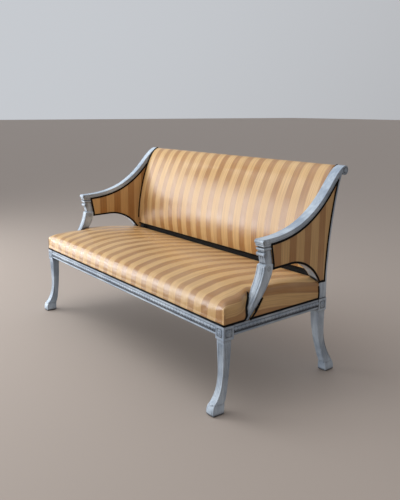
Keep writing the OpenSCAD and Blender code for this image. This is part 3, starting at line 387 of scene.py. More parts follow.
def stripedSatin(name, offset, look):   # stripes run along the cut's length
    finish = newFinish(name, {"Sheen Weight": 0.12, "Sheen Roughness": 0.4, "Anisotropic": 0.7,
                              "Specular IOR Level": 0.85, "Sheen Tint": tint(255, 232, 196)})
    cut, across, along = cutOf(finish)
    wander = (grain(cut, 5, 2) - 0.5) * 0.004
    phase = abs(((across - offset + wander) / look["pitch"]).fraction() - 0.5)   # 0 in the dark stripe's middle
    isLight = spread(phase, look["share"] / 2 - look["soft"], look["share"] / 2 + look["soft"])
    warp = grain(cut, 260, 2, 0.6, (1, 0.012, 1))
    colour = blendColour(isLight, look["dark"], look["light"])
    colour = blendColour(spread(warp, 0.35, 0.7, 0.0, 0.35), colour, look["warp"], "MULTIPLY")
    colour = blendColour(spread(grain(cut, 3.2, 3), 0.35, 0.7, 0.0, 0.16), colour, look["pale"])
    rough = spread(isLight, 0, 1, look["darkRough"], look["lightRough"]) + warp * 0.06
    threads = (across * (2 * math.pi / look["thread"])).sine()
    picks = (along * (2 * math.pi / (look["thread"] * 1.6))).sine()
    weave = threads * (picks * 0.5 + 1.0) + warp * 3.0
    return dress(finish, colour, {"Strength": 0.12, "Distance": 0.00012, "Height": weave}, rough)

gimpLook = {"cord": tint(9, 8, 9), "shine": tint(24, 22, 24), "plait": 0.0042}

def blackBraid(name, look):   # two plaited cords side by side; the cut's first measure runs along the braid
    finish = newFinish(name, {"Sheen Weight": 0.02, "Sheen Roughness": 0.4, "Specular IOR Level": 0.12,
                              "Roughness": 0.7})
    _, along, across = cutOf(finish)
    slant = abs(across - settee["gimpWidth"] / 2000)
    plait = ((along + slant) * (2 * math.pi / look["plait"])).sine()
    fine = ((along - slant) * (8 * math.pi / look["plait"])).sine()
    return dress(finish, blendColour(spread(plait, -0.4, 1.0), look["cord"], look["shine"]),
                 {"Strength": 0.8, "Distance": 0.0006, "Height": plait + fine * 0.3})

plainWeaves = {   # light and dark tint, thread and depth in metres
    "webbing": (tint(176, 148, 106), tint(122, 96, 62), 0.0022, 0.0005),
    "hessian": (tint(186, 162, 122), tint(120, 98, 68), 0.0016, 0.0005),
    "stuffing": (tint(226, 218, 200), tint(190, 178, 154), 0.009, 0.002),
    "dust_cloth": (tint(58, 55, 52), tint(34, 32, 31), 0.0011, 0.0002),
}

def plainWeave(name, light, dark, thread, deep):
    finish = newFinish(name, {"Roughness": 0.85, "Sheen Weight": 0.2, "Sheen Roughness": 0.5,
                              "Specular IOR Level": 0.2})
    where = placed(finish)
    uneven = grain(where, 90, 2) * thread
    x, y, z = [((measure + uneven) * (2 * math.pi / thread)).sine() for measure in parts(where)]
    tone = x * (y + z) * 0.25 + grain(where, 320, 4, 0.7)
    return dress(finish, blendColour(spread(tone, 0.2, 0.8), dark, light),
                 {"Strength": 0.7, "Distance": deep, "Height": tone})

woodLook = {"light": tint(196, 158, 112), "dark": tint(146, 108, 68), "rings": 55}

def bareWood(name, along, look):
    finish = newFinish(name, {"Roughness": 0.7, "Specular IOR Level": 0.3})
    where = placed(finish)
    tone = grain(where, look["rings"], 5, 0.6, along) * 0.8 + grain(where, 420, 2, 0.6, along) * 0.2
    return dress(finish, blendColour(spread(tone, 0.35, 0.65), look["dark"], look["light"]),
                 {"Strength": 0.4, "Distance": 0.0004, "Height": tone})

def screwSteel(name):
    finish = newFinish(name, {"Metallic": 1.0, "Specular IOR Level": 0.5})
    tarnish = grain(placed(finish), 240, 4, 0.6)
    colour = blendColour(spread(tarnish, 0.4, 0.7), tint(176, 172, 164), tint(120, 104, 86))
    return dress(finish, colour, None, spread(tarnish, 0.3, 0.7, 0.32, 0.6))

paintAcross, paintDeep, paintUpright = (
    paintedWood("paintedWood" + way, along, paintLook)
    for way, along in (("Across", (0.12, 1, 1)), ("Deep", (1, 0.12, 1)), ("Upright", (1, 1, 0.12))))
woodAcross, woodDeep, woodUpright = (
    bareWood("bareWood" + way, along, woodLook)
    for way, along in (("Across", (0.06, 1, 1)), ("Deep", (1, 0.06, 1)), ("Upright", (1, 1, 0.06))))
weaves = {name: plainWeave(name, *look) for name, look in plainWeaves.items()}
braid, steel = blackBraid("blackBraid", gimpLook), screwSteel("screwSteel")
seatSatin, backSatin, outerSatin, innerSatin = (
    stripedSatin(word + "Satin", offset, satinLook)
    for word, offset in (("seat", 0.015), ("back", 0.033), ("outer", 0.064), ("inner", 0.015)))

nodeFinishes = [   # a name that ends in _ stands for its left and its right piece
    (paintUpright, "front_leg_ rear_leg_ arm_support_"), (paintAcross, "front_seat_rail rear_seat_rail"),
    (paintDeep, "side_seat_rail_ arm_rail_ arched_rail_"), (woodDeep, "seat_stretcher"), (woodUpright, "back_stays"),
    (woodAcross, "glue_blocks crest_rail lower_back_rail"), (steel, "glue_block_screws"),
    (weaves["webbing"], "seat_cross_webbing seat_long_webbing back_webbing"),
    (weaves["hessian"], "seat_hessian back_hessian arm_hessian_"),
    (weaves["stuffing"], "seat_stuffing back_stuffing arm_stuffing_"), (weaves["dust_cloth"], "dust_cover"),
]
for finish, names in nodeFinishes:
    for name in names.split():
        for full in ([name + "left", name + "right"] if name[-1] == "_" else [name]):
            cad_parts[full].data.materials.clear()
            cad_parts[full].data.materials.append(finish)
print("finishes are on the frame's own pieces")


# Cloth

clothLook = {"mass": 0.2, "stiffness": 20, "bending": 0.6, "quality": 5, "frames": 20}

def pressCloth(piece, held, pressure, cap, look):   # blows the cloth out from its held edges, never past the cap
    start = np.array([v.co for v in piece.data.vertices])
    group = piece.vertex_groups.new(name="held")
    for index, weight in held.items():
        group.add([index], weight, "REPLACE")
    cloth = piece.modifiers.new("stretch", "CLOTH")
    settings = cloth.settings
    settings.quality, settings.mass, settings.bending_stiffness = look["quality"], look["mass"], look["bending"]
    settings.tension_stiffness = settings.compression_stiffness = look["stiffness"]
    settings.shear_stiffness = look["stiffness"] / 2
    settings.use_pressure, settings.uniform_pressure_force = True, pressure
    settings.effector_weights.gravity = 0
    settings.vertex_group_mass = "held"
    cloth.collision_settings.use_collision = False
    cloth.point_cache.frame_end = look["frames"]
    for step in range(1, look["frames"] + 1):
        scene.frame_set(step)
    evaluated = piece.evaluated_get(bpy.context.evaluated_depsgraph_get())
    moved = np.array([v.co for v in evaluated.data.vertices]) - start
    far = np.linalg.norm(moved, axis=1)
    print(piece.name, "cloth moved", round(float(far.max()) * 1000, 1), "mm at most")
    eased = cap * np.tanh(far / cap) / np.maximum(far, 1e-9)
    piece.modifiers.remove(cloth)
    piece.vertex_groups.clear()
    piece.data.vertices.foreach_set("co", (start + moved * eased[:, None]).ravel())
    piece.data.update()
    scene.frame_set(1)


# Seat: crowned top, falls on all four sides, closed underneath over the hessian

seatLook = {
    "back": 594.6, "dipHeights": (355, 372, 405, 450, 480), "dips": (0, 1.2, 28, 43, 45), "dipRun": 84,
    "dipDeep": 140, "dipPast": 6, "fall": 83, "crown": 34, "crownSide": 0.85, "crownBend": 0.75, "round": 34,
    "swell": 3, "cornerFull": 0.6, "cornerReach": 45, "sideFront": 0.4, "sideFrontTo": 0.4,
    "drawnFrom": 0.64, "drawnTo": 0.87, "drawn": (-0.008, 0.018), "drawnPast": (0.1, 0.19),
    "across": 120, "deep": 42, "edgeRows": 5, "fallRows": 8, "heldRows": 6, "held": (1.0, 0.75, 0.5, 0.25),
    "pressure": 1, "cap": 0.003, "foldPast": 0.15, "foldReach": 0.03,
    "turns": ((355, 0.003), (372.6, 0.0034)),   # height and inset of the rings under the rail's top
    "folds": [   # from, to, direction across, direction outward, wide, deep
        ((655, 0, 380), (724, 8, 436), (-0.6, 0, 0.8), (0, -1, 0), 9, 1.6),
        ((560, 0, 372), (600, 6, 424), (-0.8, 0, 0.6), (0, -1, 0), 12, 1.0),
        ((797, 250, 366), (792, 262, 430), (0, 1, 0), (1, 0, 0), 10, 1.2),
        ((-655, 0, 380), (-724, 8, 436), (0.6, 0, 0.8), (0, -1, 0), 10, 1.1),
    ],
}

def stations(length, radius, edgeRows, mids):
    edge = [radius * (1 - math.cos(math.radians(90 * k / edgeRows))) for k in range(edgeRows + 1)]
    middle = [radius + (length - 2 * radius) * k / mids for k in range(1, mids)]
    return np.array([*edge, *middle, *(length - step for step in edge[::-1])])

def easeStep(share):
    share = min(1.0, max(0.0, share))
    return share * share * (3 - 2 * share)

def roundedEdge(distance, radius):
    return math.sqrt(max(0.0, 1 - (1 - min(distance, radius) / radius) ** 2))

def seatTop(look):
    r, front = look["round"], settee["railSet"]
    long, rows = look["back"] - front, []
    for y in stations(long, r, look["edgeRows"], look["deep"]):
        half, v, row = halfWidth(front + y, front), y / long, []
        crown = math.sin(math.pi * v ** look["crownBend"]) if v < 1 else 0.0
        flat = 1 - look["crownSide"] + look["sideFront"] * (1 - easeStep(v / look["sideFrontTo"]))
        for d in stations(2 * half, r, look["edgeRows"], look["across"]):
            near = min(d, 2 * half - d)
            edge = roundedEdge(near, r) * roundedEdge(min(y, long - y), r)
            edge += (1 - edge) * look["cornerFull"] * math.exp(-(near ** 2 + y ** 2) / look["cornerReach"] ** 2)
            high = crown * (1 - flat * (d / half - 1) ** 4)
            row.append((d - half, front + y, railTop + look["fall"] - r + r * edge + look["crown"] * high))
        rows.append(row)
    return rows

def pulledIn(x, y, z, look):   # the cover is drawn in on the support's front face, so the cushion dips before it
    side, across = math.copysign(1, x), abs(x) - halfFront
    out, back = across * sideCos + y * sideSin, -across * sideSin + y * sideCos
    front, rear = lineAt(supportShaft, z), lineAt(supportBack, z)
    near = easeStep((back - front + look["dipRun"]) / look["dipRun"])
    near *= 1 - easeStep((back - front - look["dipPast"]) / max(rear - front - look["dipPast"], 8))
    dip = float(np.interp(z, look["dipHeights"], look["dips"])) * near * (1 - easeStep(-out / look["dipDeep"]))
    return side * (abs(x) - dip * sideCos), y - dip * sideSin, z

def makeSeat(look):
    top, falls = seatTop(look), look["fallRows"]
    ny, nx = len(top) - 1, len(top[0]) - 1
    acrossAt, alongAt = [lengths(row) for row in top], [lengths(column) for column in zip(*top)]   # along the cloth
    number = lambda j, i: j * (nx + 1) + i
    def cutAt(j, i, way=(0, 0), level=0):   # where a point of the top, or of the fall under it, lies on the cloth
        drop = (top[j][i][2] - railTop) * level / falls / 1000
        u, v = (acrossAt[j][i] - acrossAt[j][-1] / 2) / 1000 + drop * way[0], alongAt[i][j] / 1000 + drop * way[1]
        near, far = look["drawnPast"]   # the cloth is pulled tighter over the sides, so its stripes are wider there
        drawn = look["drawn"][0] + (look["drawn"][1] - look["drawn"][0]) * easeStep((v - near) / (far - near))
        share = easeStep((abs(u) - look["drawnFrom"]) / (look["drawnTo"] - look["drawnFrom"]))
        return u - math.copysign(drawn * share, u), v
    points = [place(*pulledIn(*p, look)) for row in top for p in row]
    faces = [[number(*c) for c in cell] for cell in cells(ny, nx)]
    uvs = [[cutAt(*c) for c in cell] for cell in cells(ny, nx)]
    rim = rimOf(ny, nx)
    ways = [(0, -1)] * nx + [(1, 0)] * ny + [(0, 1)] * nx + [(-1, 0)] * ny   # outward at each step of the rim
    below = [[number(*step) for step in rim]]
    for row in range(1, falls + 1):
        share = row / falls
        below.append([*range(len(points), len(points) + len(rim))])
        for (j, i), way in zip(rim, ways):
            x, y, z = top[j][i]
            run = j / ny if way[0] else i / nx
            push = look["swell"] * math.sin(math.pi * share) * (1 - abs(2 * run - 1) ** 6) * (way != (0, 1))
            points.append(place(*pulledIn(x + push * way[0], y + push * way[1], z + (railTop - z) * share, look)))
    for row in range(falls):
        for (k, l), way in zip(following([*range(len(rim))]), ways):
            faces.append([below[row][k], below[row + 1][k], below[row + 1][l], below[row][l]])
            uvs.append([cutAt(*rim[m], way, level) for m, level in ((k, row), (k, row + 1), (l, row + 1), (l, row))])
    held = {}
    for share, ring in zip(look["held"], below[::-1]):
        held.update(dict.fromkeys(ring, share))
    held.update(dict.fromkeys([row[k] for row in below for k, way in enumerate(ways) if way == (0, 1)], 1.0))
    held.update(dict.fromkeys(range(number(ny + 1 - look["heldRows"], 0), number(ny + 1, 0)), 1.0))
    piece = makeMesh("seat_cushion", points, faces, seatSatin, uvs)
    pressCloth(piece, held, look["pressure"], look["cap"], clothLook)
    pullFolds(piece, look)
    closeUnder(piece, below[-1], look)
    return piece

def pullFolds(piece, look):   # shallow creases from one place to another on the cover
    past = look["foldPast"]
    for vertex in piece.data.vertices:
        for start, end, across, facing, wide, deep in look["folds"]:
            a, b = place(*start), place(*end)
            share = (vertex.co - a).dot(b - a) / (b - a).length ** 2
            off = vertex.co - a - (b - a) * share
            if not -past < share < 1 + past or off.length > look["foldReach"]:
                continue
            aside = off.dot(Vector(across).normalized()) * 1000
            ease = math.sin(math.pi * min(1, max(0, (share + past) / (1 + 2 * past))))
            shape = (math.exp(-((aside - wide / 2) / wide) ** 2)
                     - 1.4 * math.exp(-((aside + wide / 2) / (wide * 0.6)) ** 2))
            vertex.co += Vector(facing) * deep * ease * shape / 1000

def closeUnder(piece, ring, look):   # turns the cloth in under the rail's top and closes the seat over its hessian
    work = opened(piece)
    work.verts.ensure_lookup_table()
    rings = [[work.verts[i] for i in ring]]
    layer = work.loops.layers.uv["cut"]
    middle = sum(v.co.y for v in rings[0]) / len(ring)
    toward = lambda measure, inset: -math.copysign(min(inset, abs(measure)), measure)
    for height, inset in look["turns"]:
        rings.append([])
        for x, y, _ in [tuple(v.co) for v in rings[0]]:
            nearSide = abs(abs(x) - halfWidth((y + settee["middle"] / 1000) * 1000, settee["railSet"]) / 1000) < 0.002
            nearEnd = y < place(0, 8, 0).y or y > place(0, look["back"] - 6, 0).y
            rings[-1].append(work.verts.new((x + toward(x, inset) * nearSide, y + toward(y - middle, inset) * nearEnd,
                                             height / 1000)))
    made = [work.faces.new([a[k], b[k], b[l], a[l]])
            for a, b in zip(rings, rings[1:]) for k, l in following([*range(len(ring))])]
    made.append(work.faces.new(rings[-1]))
    for face in made:
        for loop in face.loops:
            loop[layer].uv = loop.vert.co.xy
    bmesh.ops.recalc_face_normals(work, faces=work.faces)
    for face in work.faces:
        face.smooth = face != made[-1]
    closed(work, piece.data)

def prism(outline, outFrom, outTo, side):   # an outline of [back, height] made solid between two planes of a side
    n = len(outline)
    points = [placeSide(out, *p, side) for out in (outFrom, outTo) for p in outline]
    faces = [[*range(n)], [*range(2 * n - 1, n - 1, -1)]] + [[l, k, n + k, n + l] for k, l in following([*range(n)])]
    return outsideOut(makeMesh("cutter", points, faces, seatSatin, smooth=False))

def cutAway(piece, cutter):
    whole = piece.data
    for touchesItself in (False, True):   # the second, slower way only where folds cross
        piece.data = whole
        modifier = piece.modifiers.new("cut", "BOOLEAN")
        modifier.operation, modifier.solver, modifier.object = "DIFFERENCE", "EXACT", cutter
        modifier.use_self = touchesItself
        evaluated = piece.evaluated_get(bpy.context.evaluated_depsgraph_get())
        mesh = bpy.data.meshes.new_from_object(evaluated)
        piece.modifiers.clear()
        piece.data = mesh
        if len(mesh.polygons) > 0.6 * len(whole.polygons):
            break
    bpy.data.objects.remove(cutter)

def block(front, low, rear, high):
    return [point(front, low), point(rear, low), point(rear, high), point(front, high)]

notchLook = {"low": 340, "far": 700, "out": 30}   # the cutters reach past the cloth

def notchSeat(piece, look):   # room for the supports, the posts and the feet of the arched rails
    foot, far = panelFoot - slack, look["far"]
    archFoot = [point(264, far), *archLine(-slack, foot)[1:], point(far, foot), point(far, far)]
    posts = block(settee["postFront"], look["low"], far, far)
    for side, _ in bothSides:
        for outline in (supportFront(slack) + supportRear(slack), posts, archFoot):
            cutAway(piece, prism(outline, -innerSide - slack, look["out"], side))

seatCushion = makeSeat(seatLook)
seatTree = treeOf(seatCushion)
notchSeat(seatCushion, notchLook)
settle(seatCushion, "striped_satin", "seat_cover", "seat_stuffing")

pleatLook = {"wide": 7, "low": 356, "high": 420, "thick": 1.5, "corner": 1.5, "taper": 22}

def makePleats(look):   # the cover's corners are folded, and the fold stands a little proud of the side
    backs = np.linspace(look["corner"] + 0.4, look["corner"] + look["wide"], 6)
    near = (backs - look["corner"]) / look["wide"]
    for side, word in bothSides:
        front, behind, cuts = [], [], []
        for z in np.linspace(look["low"], look["high"], 22):
            taper = 1 - easeStep((z - look["high"] + look["taper"]) / look["taper"])
            at = look["corner"] + (backs - look["corner"]) * (0.55 + 0.45 * taper) + 0.5 * math.sin(z / 11.0) * near
            lifts = -1.3 + look["thick"] * taper * (0.25 + 0.75 * near)
            front.append([placeSide(lift, y, z, side) for lift, y in zip(lifts, at)])
            behind.append([placeSide(-2.6, y, z, side) for y in at])
            cuts.append([(0.79 + z / 4000, y / 1000) for y in backs])
        pleat = layered("corner_pleat_" + word, front, behind, cuts, seatSatin)
        settle(pleat, "striped_satin")

makePleats(pleatLook)
print("seat is stuffed and covered")


# Back: one cloth that rolls over the crest, down the face and under the lower rail

backLook = {"across": 124, "along": 66, "endRound": 12, "swell": 9, "swellTop": 826, "swellShare": 6, "tuckFrom": 480,
            "softFrom": 850, "soft": 0.9, "crestIn": 6.6, "behind": 30.8, "straightFrom": 840, "straightRun": 30,
            "pressure": 5, "cap": 0.006}
backLow = railTop + settee["backFoot"]

def makeBack(look):
    m, n, ends = look["across"], look["along"], look["endRound"]
    line = evenly(backLine, n)
    inward = beside(line, -1) - line     # towards the stuffing
    walked, even = lengths(line) / 1000, np.linspace(-1, 1, m + 1)
    shares = np.sin(even * math.pi / 2 * 0.97) / math.sin(math.pi / 2 * 0.97) * 0.35 + even * 0.65
    points, cuts, held = [], [], {}
    for j, (y, z) in enumerate(line):
        rise = (z - backLow) / (look["swellTop"] - backLow)
        swell = look["swell"] * math.sin(math.pi * rise) if 0 <= rise <= 1 else 0
        for i, share in enumerate(shares):
            tuck = ends * (1 - roundedEdge((1 - abs(share)) * halfWidth(y), ends))
            back = y - swell * (1 - abs(share) ** look["swellShare"]) + tuck * inward[j][0]
            high = z + tuck * inward[j][1] * (z > look["tuckFrom"])
            if j in (0, n):
                back, high = y, z
            if j in (0, 1, n - 1, n) or i in (0, m) or z > look["softFrom"]:
                held[len(points)] = 1.0 if j in (0, 1, n - 1, n) or i in (0, m) else look["soft"]
            points.append(place(share * halfWidth(back), back, high))
            cuts.append((share * halfWidth(back) / 1000, walked[j]))
    faces = [[j * (m + 1) + i for j, i in (cell[0], *cell[:0:-1])] for cell in cells(n, m)]
    piece = makeMesh("back_cushion", points, faces, backSatin, [[cuts[c] for c in face] for face in faces])
    pressCloth(piece, held, look["pressure"], look["cap"], clothLook)
    closeBack(piece, line, faces, look)
    return piece

def closeBack(piece, line, faces, look):   # behind the stuffing, in front of the hessian and round the crest rail
    m, n, crest = look["across"], look["along"], beside(line, -look["crestIn"])
    points = [v.co.copy() for v in piece.data.vertices]
    uvs = [[tuple(piece.data.uv_layers["cut"].data[k].uv) for k in p.loop_indices] for p in piece.data.polygons]
    base = len(points)
    for j, (y, z) in enumerate(line):
        lower = min(1.0, max(0.0, (look["straightFrom"] - z) / look["straightRun"]))
        behind = postAt(z) - look["behind"]
        back, high = (behind, backLow) if j == n else crest[j] * (1 - lower) + point(behind, z) * lower
        for outer in points[j * (m + 1):(j + 1) * (m + 1)]:
            share = outer.x * 1000 / halfWidth(outer.y * 1000 + settee["middle"])
            points.append(place(share * halfWidth(back), back, high))
    number = lambda j, i: j * (m + 1) + i
    added = [[base + number(*c) for c in cell] for cell in cells(n, m)]
    added += [[number(*a), number(*b), base + number(*b), base + number(*a)] for a, b in following(rimOf(n, m))]
    uvs += [[(points[c].x, points[c].z) for c in face] for face in added]
    whole = makeMesh("closed", points, faces + added, backSatin, uvs)
    piece.data = whole.data
    bpy.data.objects.remove(whole)
    outsideOut(piece)

backCushion = makeBack(backLook)
backTree = treeOf(backCushion)
settle(backCushion, "striped_satin", "back_cover", "back_stuffing")
print("back is stuffed and covered")


# Panels between support, arm, post and arch: padded inside, drawn tight outside

panelLook = {
    "inner": {"name": "inner_arm_pad_", "out": -45, "facing": -1, "strip": 30.5, "bulge": 3.2, "cloth": innerSatin,
              "gimpOut": -47.2},
    "outer": {"name": "outer_arm_cloth_", "out": -7, "facing": 1, "strip": 9, "bulge": 1.2, "cloth": outerSatin,
              "gimpOut": -4.8},
    "thick": 2.2, "columns": 58, "rows": 22,
}

def fieldGrid(edges, columns, rows):   # even rows and columns inside four edges
    front, top, rear, bottom = (evenly(e, k) for e, k in zip(edges, (rows, columns, rows, columns)))
    rear, bottom = rear[::-1], bottom[::-1]     # all now run upward or backward
    s, t = np.linspace(0, 1, columns + 1)[None, :, None], np.linspace(0, 1, rows + 1)[:, None, None]
    return ((1 - s) * front[:, None] + s * rear[:, None] + (1 - t) * bottom + t * top
            - ((1 - s) * (1 - t) * front[0] + s * (1 - t) * rear[0] + (1 - s) * t * front[-1] + s * t * rear[-1]))

def easedEdges(columns, rows):   # 0 at the edges of a panel, 1 over its middle
    ease = lambda count: 1 - (1 - np.minimum(np.arange(count + 1), count - np.arange(count + 1)) / count * 2) ** 4
    return np.outer(ease(rows), ease(columns))

def panelSlab(name, grid, lifts, out, side, finish):   # a grid of [back, height] between the plane and its lifts
    front = [[placeSide(out + h, *p, side) for p, h in zip(*pair)] for pair in zip(grid, lifts)]
    behind = [[placeSide(out, *p, side) for p in row] for row in grid]
    return layered(name, front, behind, grid / 1000, finish)

def makePanel(kind, side, word, look):
    part, columns, rows = look[kind], look["columns"], look["rows"]
    grid = fieldGrid(panelEdges(slack, part["strip"]), columns, rows)
    lifts = part["facing"] * (look["thick"] + part["bulge"] * easedEdges(columns, rows))
    return panelSlab(part["name"] + word, grid, lifts, part["out"], side, part["cloth"])

panelTrees = {}
for side, word in bothSides:
    innerPad = makePanel("inner", side, word, panelLook)
    settle(innerPad, "striped_satin", "inner_arm_cover_" + word, "arm_stuffing_" + word)
    outerCloth = makePanel("outer", side, word, panelLook)
    settle(outerCloth, "striped_satin", "outer_arm_cover_" + word)
    panelTrees["inner", side], panelTrees["outer", side] = treeOf(innerPad), treeOf(outerCloth)
print("arms are covered")


# Webbing, hessian and dust cloth, tacked to the frame under the stuffing

underLook = {
    "wide": 52, "strap": 1.5, "half": 672.87,
    "cross": {"count": 13, "low": 369.3, "from": 8.1, "to": 588},
    "long": {"count": 4, "low": 370.8, "from": 180, "pitch": 107.54, "inside": 8.1},
    "seat": {"low": 372.32, "high": 372.58, "from": 8.1, "to": 588, "inside": 8.1, "notches": 50 * 27 + 42 * 37},
    "dust": {"low": 307, "high": 308, "from": 20.75, "to": 573.9, "inside": 20.75, "notches": 28 * 29 + 29 * 22},
    "back": {"count": 11, "behind": 28, "from": 467.6, "to": 822.7, "inside": 51.3},
    "arm": {"out": -8.3, "thick": 1, "lip": 14.3, "post": 36, "arch": 12},
}

def flatCloth(name, across, along, spot, finish):   # spot(across, along, side of the cloth)
    faces = [[[spot(u, v, layer) for u in across(v)] for v in along] for layer in (0, 1)]
    return layered(name, *faces, [[(u / 1000, v / 1000) for u in across(v)] for v in along], finish)

def makeStraps(name, replaced, across, along, spot, count):   # count straps as one piece; across(v, k) of strap k
    work = bmesh.new()
    for k in range(count):
        strap = flatCloth("strap", lambda v: across(v, k), along, spot, weaves["webbing"])
        work.from_mesh(strap.data)
        bpy.data.objects.remove(strap)
    mesh = bpy.data.meshes.new(name)
    closed(work, mesh)
    mesh.materials.append(weaves["webbing"])
    settle(shown(name, mesh), "webbing", replaced)

def layStraps(look):
    wide, thick, cross, long, back = look["wide"], look["strap"], look["cross"], look["long"], look["back"]
    def spaced(count):
        return lambda v, k: look["half"] * (2 * k / (count - 1) - 1) + np.linspace(-wide / 2, wide / 2, 5)
    makeStraps("seat_cross_straps", "seat_cross_webbing", spaced(cross["count"]),
               np.linspace(cross["from"], cross["to"], 14),
               lambda u, v, side: place(u, v, cross["low"] + thick * side), cross["count"])
    makeStraps("back_straps", "back_webbing", spaced(back["count"]), np.linspace(back["from"], back["to"], 14),
               lambda u, v, side: place(u, postAt(v) - back["behind"] - thick * side, v), back["count"])
    makeStraps("seat_long_straps", "seat_long_webbing",
               lambda v, k: long["from"] + k * long["pitch"] + np.linspace(0, wide, 5), np.linspace(-1, 1, 40),
               lambda u, v, side: place(v * halfWidth(u, long["inside"]), u, long["low"] + thick * side),
               long["count"])

def notchDust(piece, part, look):   # room for the four blocks
    low, high, wide = part["low"] - 3, part["high"] + 3, settee["blockWidth"]
    for side, _ in bothSides:
        x, past = (halfFront - wide) * side, (halfFront + 40) * side
        box = [place(u, v, z) for z in (low, high) for u, v in ((x, -9), (past, -9), (past, wide), (x, wide))]
        sides = [[0, 1, 2, 3], [7, 6, 5, 4], [0, 4, 5, 1], [1, 5, 6, 2], [2, 6, 7, 3], [3, 7, 4, 0]]
        cutAway(piece, outsideOut(makeMesh("cutter", box, sides, seatSatin, smooth=False)))
        cutAway(piece, prism(block(settee["postFront"], low, look["far"], high), -wide, look["out"], side))

def makeHessians(look):
    for kind, name, replaced, cloth in (("seat", "seat_hessian_cloth", "seat_hessian", "hessian"),
                                        ("dust", "dust_cloth", "dust_cover", "dust_cloth")):
        part = look[kind]
        ends = [halfWidth(part[end], part["inside"]) for end in ("from", "to")]
        piece = flatCloth(name, lambda v: halfWidth(v, part["inside"]) * np.linspace(-1, 1, 40),
                          np.linspace(part["from"], part["to"], 15),
                          lambda u, v, side: place(u, v, (part["low"], part["high"])[side]), weaves[cloth])
        if kind == "seat":
            notchSeat(piece, notchLook)
        else:
            notchDust(piece, part, notchLook)
        settle(piece, cloth, replaced)
    back, arm = look["back"], look["arm"]
    heights = np.linspace(back["from"], back["to"], 24)
    behind = lambda v: postAt(v) - back["behind"] - look["strap"]
    piece = flatCloth("back_hessian_cloth", lambda v: np.linspace(-1, 1, 40) * halfWidth(behind(v), back["inside"]),
                      heights, lambda u, v, side: place(u, behind(v) - side, v), weaves["hessian"])
    settle(piece, "hessian", "back_hessian")
    rise = lengths([(postAt(z), z) for z in heights])[-1]
    ends = [halfWidth(behind(back[end]), back["inside"]) for end in ("from", "to")]
    grid = fieldGrid(panelEdges(arm["lip"], arm["post"], arm["arch"]), 24, 16)
    for side, word in bothSides:
        piece = panelSlab("arm_hessian_cloth_" + word, grid, np.full(grid.shape[:2], arm["thick"]), arm["out"], side,
                          weaves["hessian"])
        settle(piece, "hessian", "arm_hessian_" + word)

layStraps(underLook)
makeHessians(underLook)
print("webbing and linings are in")


# Outside back, drawn tight between the posts

outsideLook = {"low": 355.3, "high": 878, "behind": 6, "thick": 2.2, "bulge": 0.5, "cuts": (90, 36)}

def makeOutsideBack(look):
    columns, rows = look["cuts"]
    lifts = look["thick"] + look["bulge"] * easedEdges(columns, rows)
    front, behind, cuts = [], [], []
    for z, row in zip(np.linspace(look["low"], look["high"], rows + 1), lifts):
        y = postAt(z) - look["behind"]
        across = np.linspace(-1, 1, columns + 1) * halfWidth(y)
        front.append([place(x, y + lift, z) for x, lift in zip(across, row)])
        behind.append([place(x, y, z) for x in across])
        cuts.append([(x / 1000, z / 1000) for x in across])
    # its inside face is dark dust cloth: painted shade seen through the gap between the back's foot and the seat
    return layered("outside_back_cloth", front, behind, cuts, backSatin, weaves["dust_cloth"])

outsideBack = makeOutsideBack(outsideLook)
outsideTree = treeOf(outsideBack)
settle(outsideBack, "striped_satin", "outside_back_cover")
print("outside back is covered")


# Gimp: a flat double braid laid along the cloth's edges

# across and high, as shares of the braid's width and thickness
gimpSection = [(-0.5, -0.1), (-0.5, 0.45), (-0.38, 0.9), (-0.24, 1.0), (-0.1, 0.82), (0, 0.6)]
gimpSection += [(-across, high) for across, high in gimpSection[-2::-1]]

def ribbon(points, faces, uvs, line, spot, width, high, section):
    # line is the middle of the braid as [first, second] of the surface; spot(first, second, lift) places a point
    line, n = np.array(line, float), len(section)
    start, walked = len(points), lengths(line) / 1000
    runs = np.diff(line, axis=0)
    runs /= np.hypot(*runs.T)[:, None]
    for p, before, after in zip(line, [runs[0], *runs], [*runs, runs[-1]]):
        middle = (before + after) / np.hypot(*(before + after))
        normal = point(-middle[1], middle[0]) / max(0.5, float(np.dot(middle, after)))
        points += [spot(*(p + normal * share * width), lift * high) for share, lift in section]
    shares = [(across + 0.5) * settee["gimpWidth"] / 1000 for across, _ in section]
    for k in range(len(line) - 1):
        for i, j in following([*range(n)]):
            a = start + k * n
            faces.append([a + i, a + n + i, a + n + j, a + j])
            uvs.append([(walked[m], shares[q]) for m, q in ((k, i), (k + 1, i), (k + 1, j), (k, j))])
    faces += tubeEnds(start, len(line), n)
    uvs += [[(0, 0)] * n] * 2

def longer(line, extra):   # the line run on a little at both ends
    first, last = line[0] - line[1], line[-1] - line[-2]
    return [line[0] + extra * first / np.hypot(*first), *line[1:-1], line[-1] + extra * last / np.hypot(*last)]

def thin(line, step):   # the line at about this step, its corners kept
    kept = [point(*line[0])]
    for a, b in zip(line, line[1:]):
        way = point(*b) - a
        count = max(1, int(round(np.linalg.norm(way) / step)))
        kept += [a + way * k / count for k in range(1, count + 1)]
    return kept

def onCloth(tree, plain, way, reach=15, proud=0):   # spot() laying a point of a plain surface on the cloth found there
    def spot(first, second, lift):
        base, towards = plain(first, second), way * -1
        hit = tree.ray_cast(base - towards * 0.06, towards, 0.2)[0]
        if hit is None or (hit - base).length > reach / 1000:
            hit = base
        return hit + way * (lift + proud) / 1000
    return spot

def sideSpot(tree, side, base, facing, reach=12, proud=0):
    way = Vector((side * sideCos, sideSin, 0)) * facing
    return onCloth(tree, lambda back, height: placeSide(base, back, height, side), way, reach, proud)

def makeGimp(name, strips, *replaced):
    points, faces, uvs = [], [], []
    for line, spot in strips:
        ribbon(points, faces, uvs, line, spot, settee["gimpWidth"], settee["gimpThick"], gimpSection)
    return settle(outsideOut(makeMesh(name, points, faces, braid, uvs), 0), "black_gimp", *replaced)

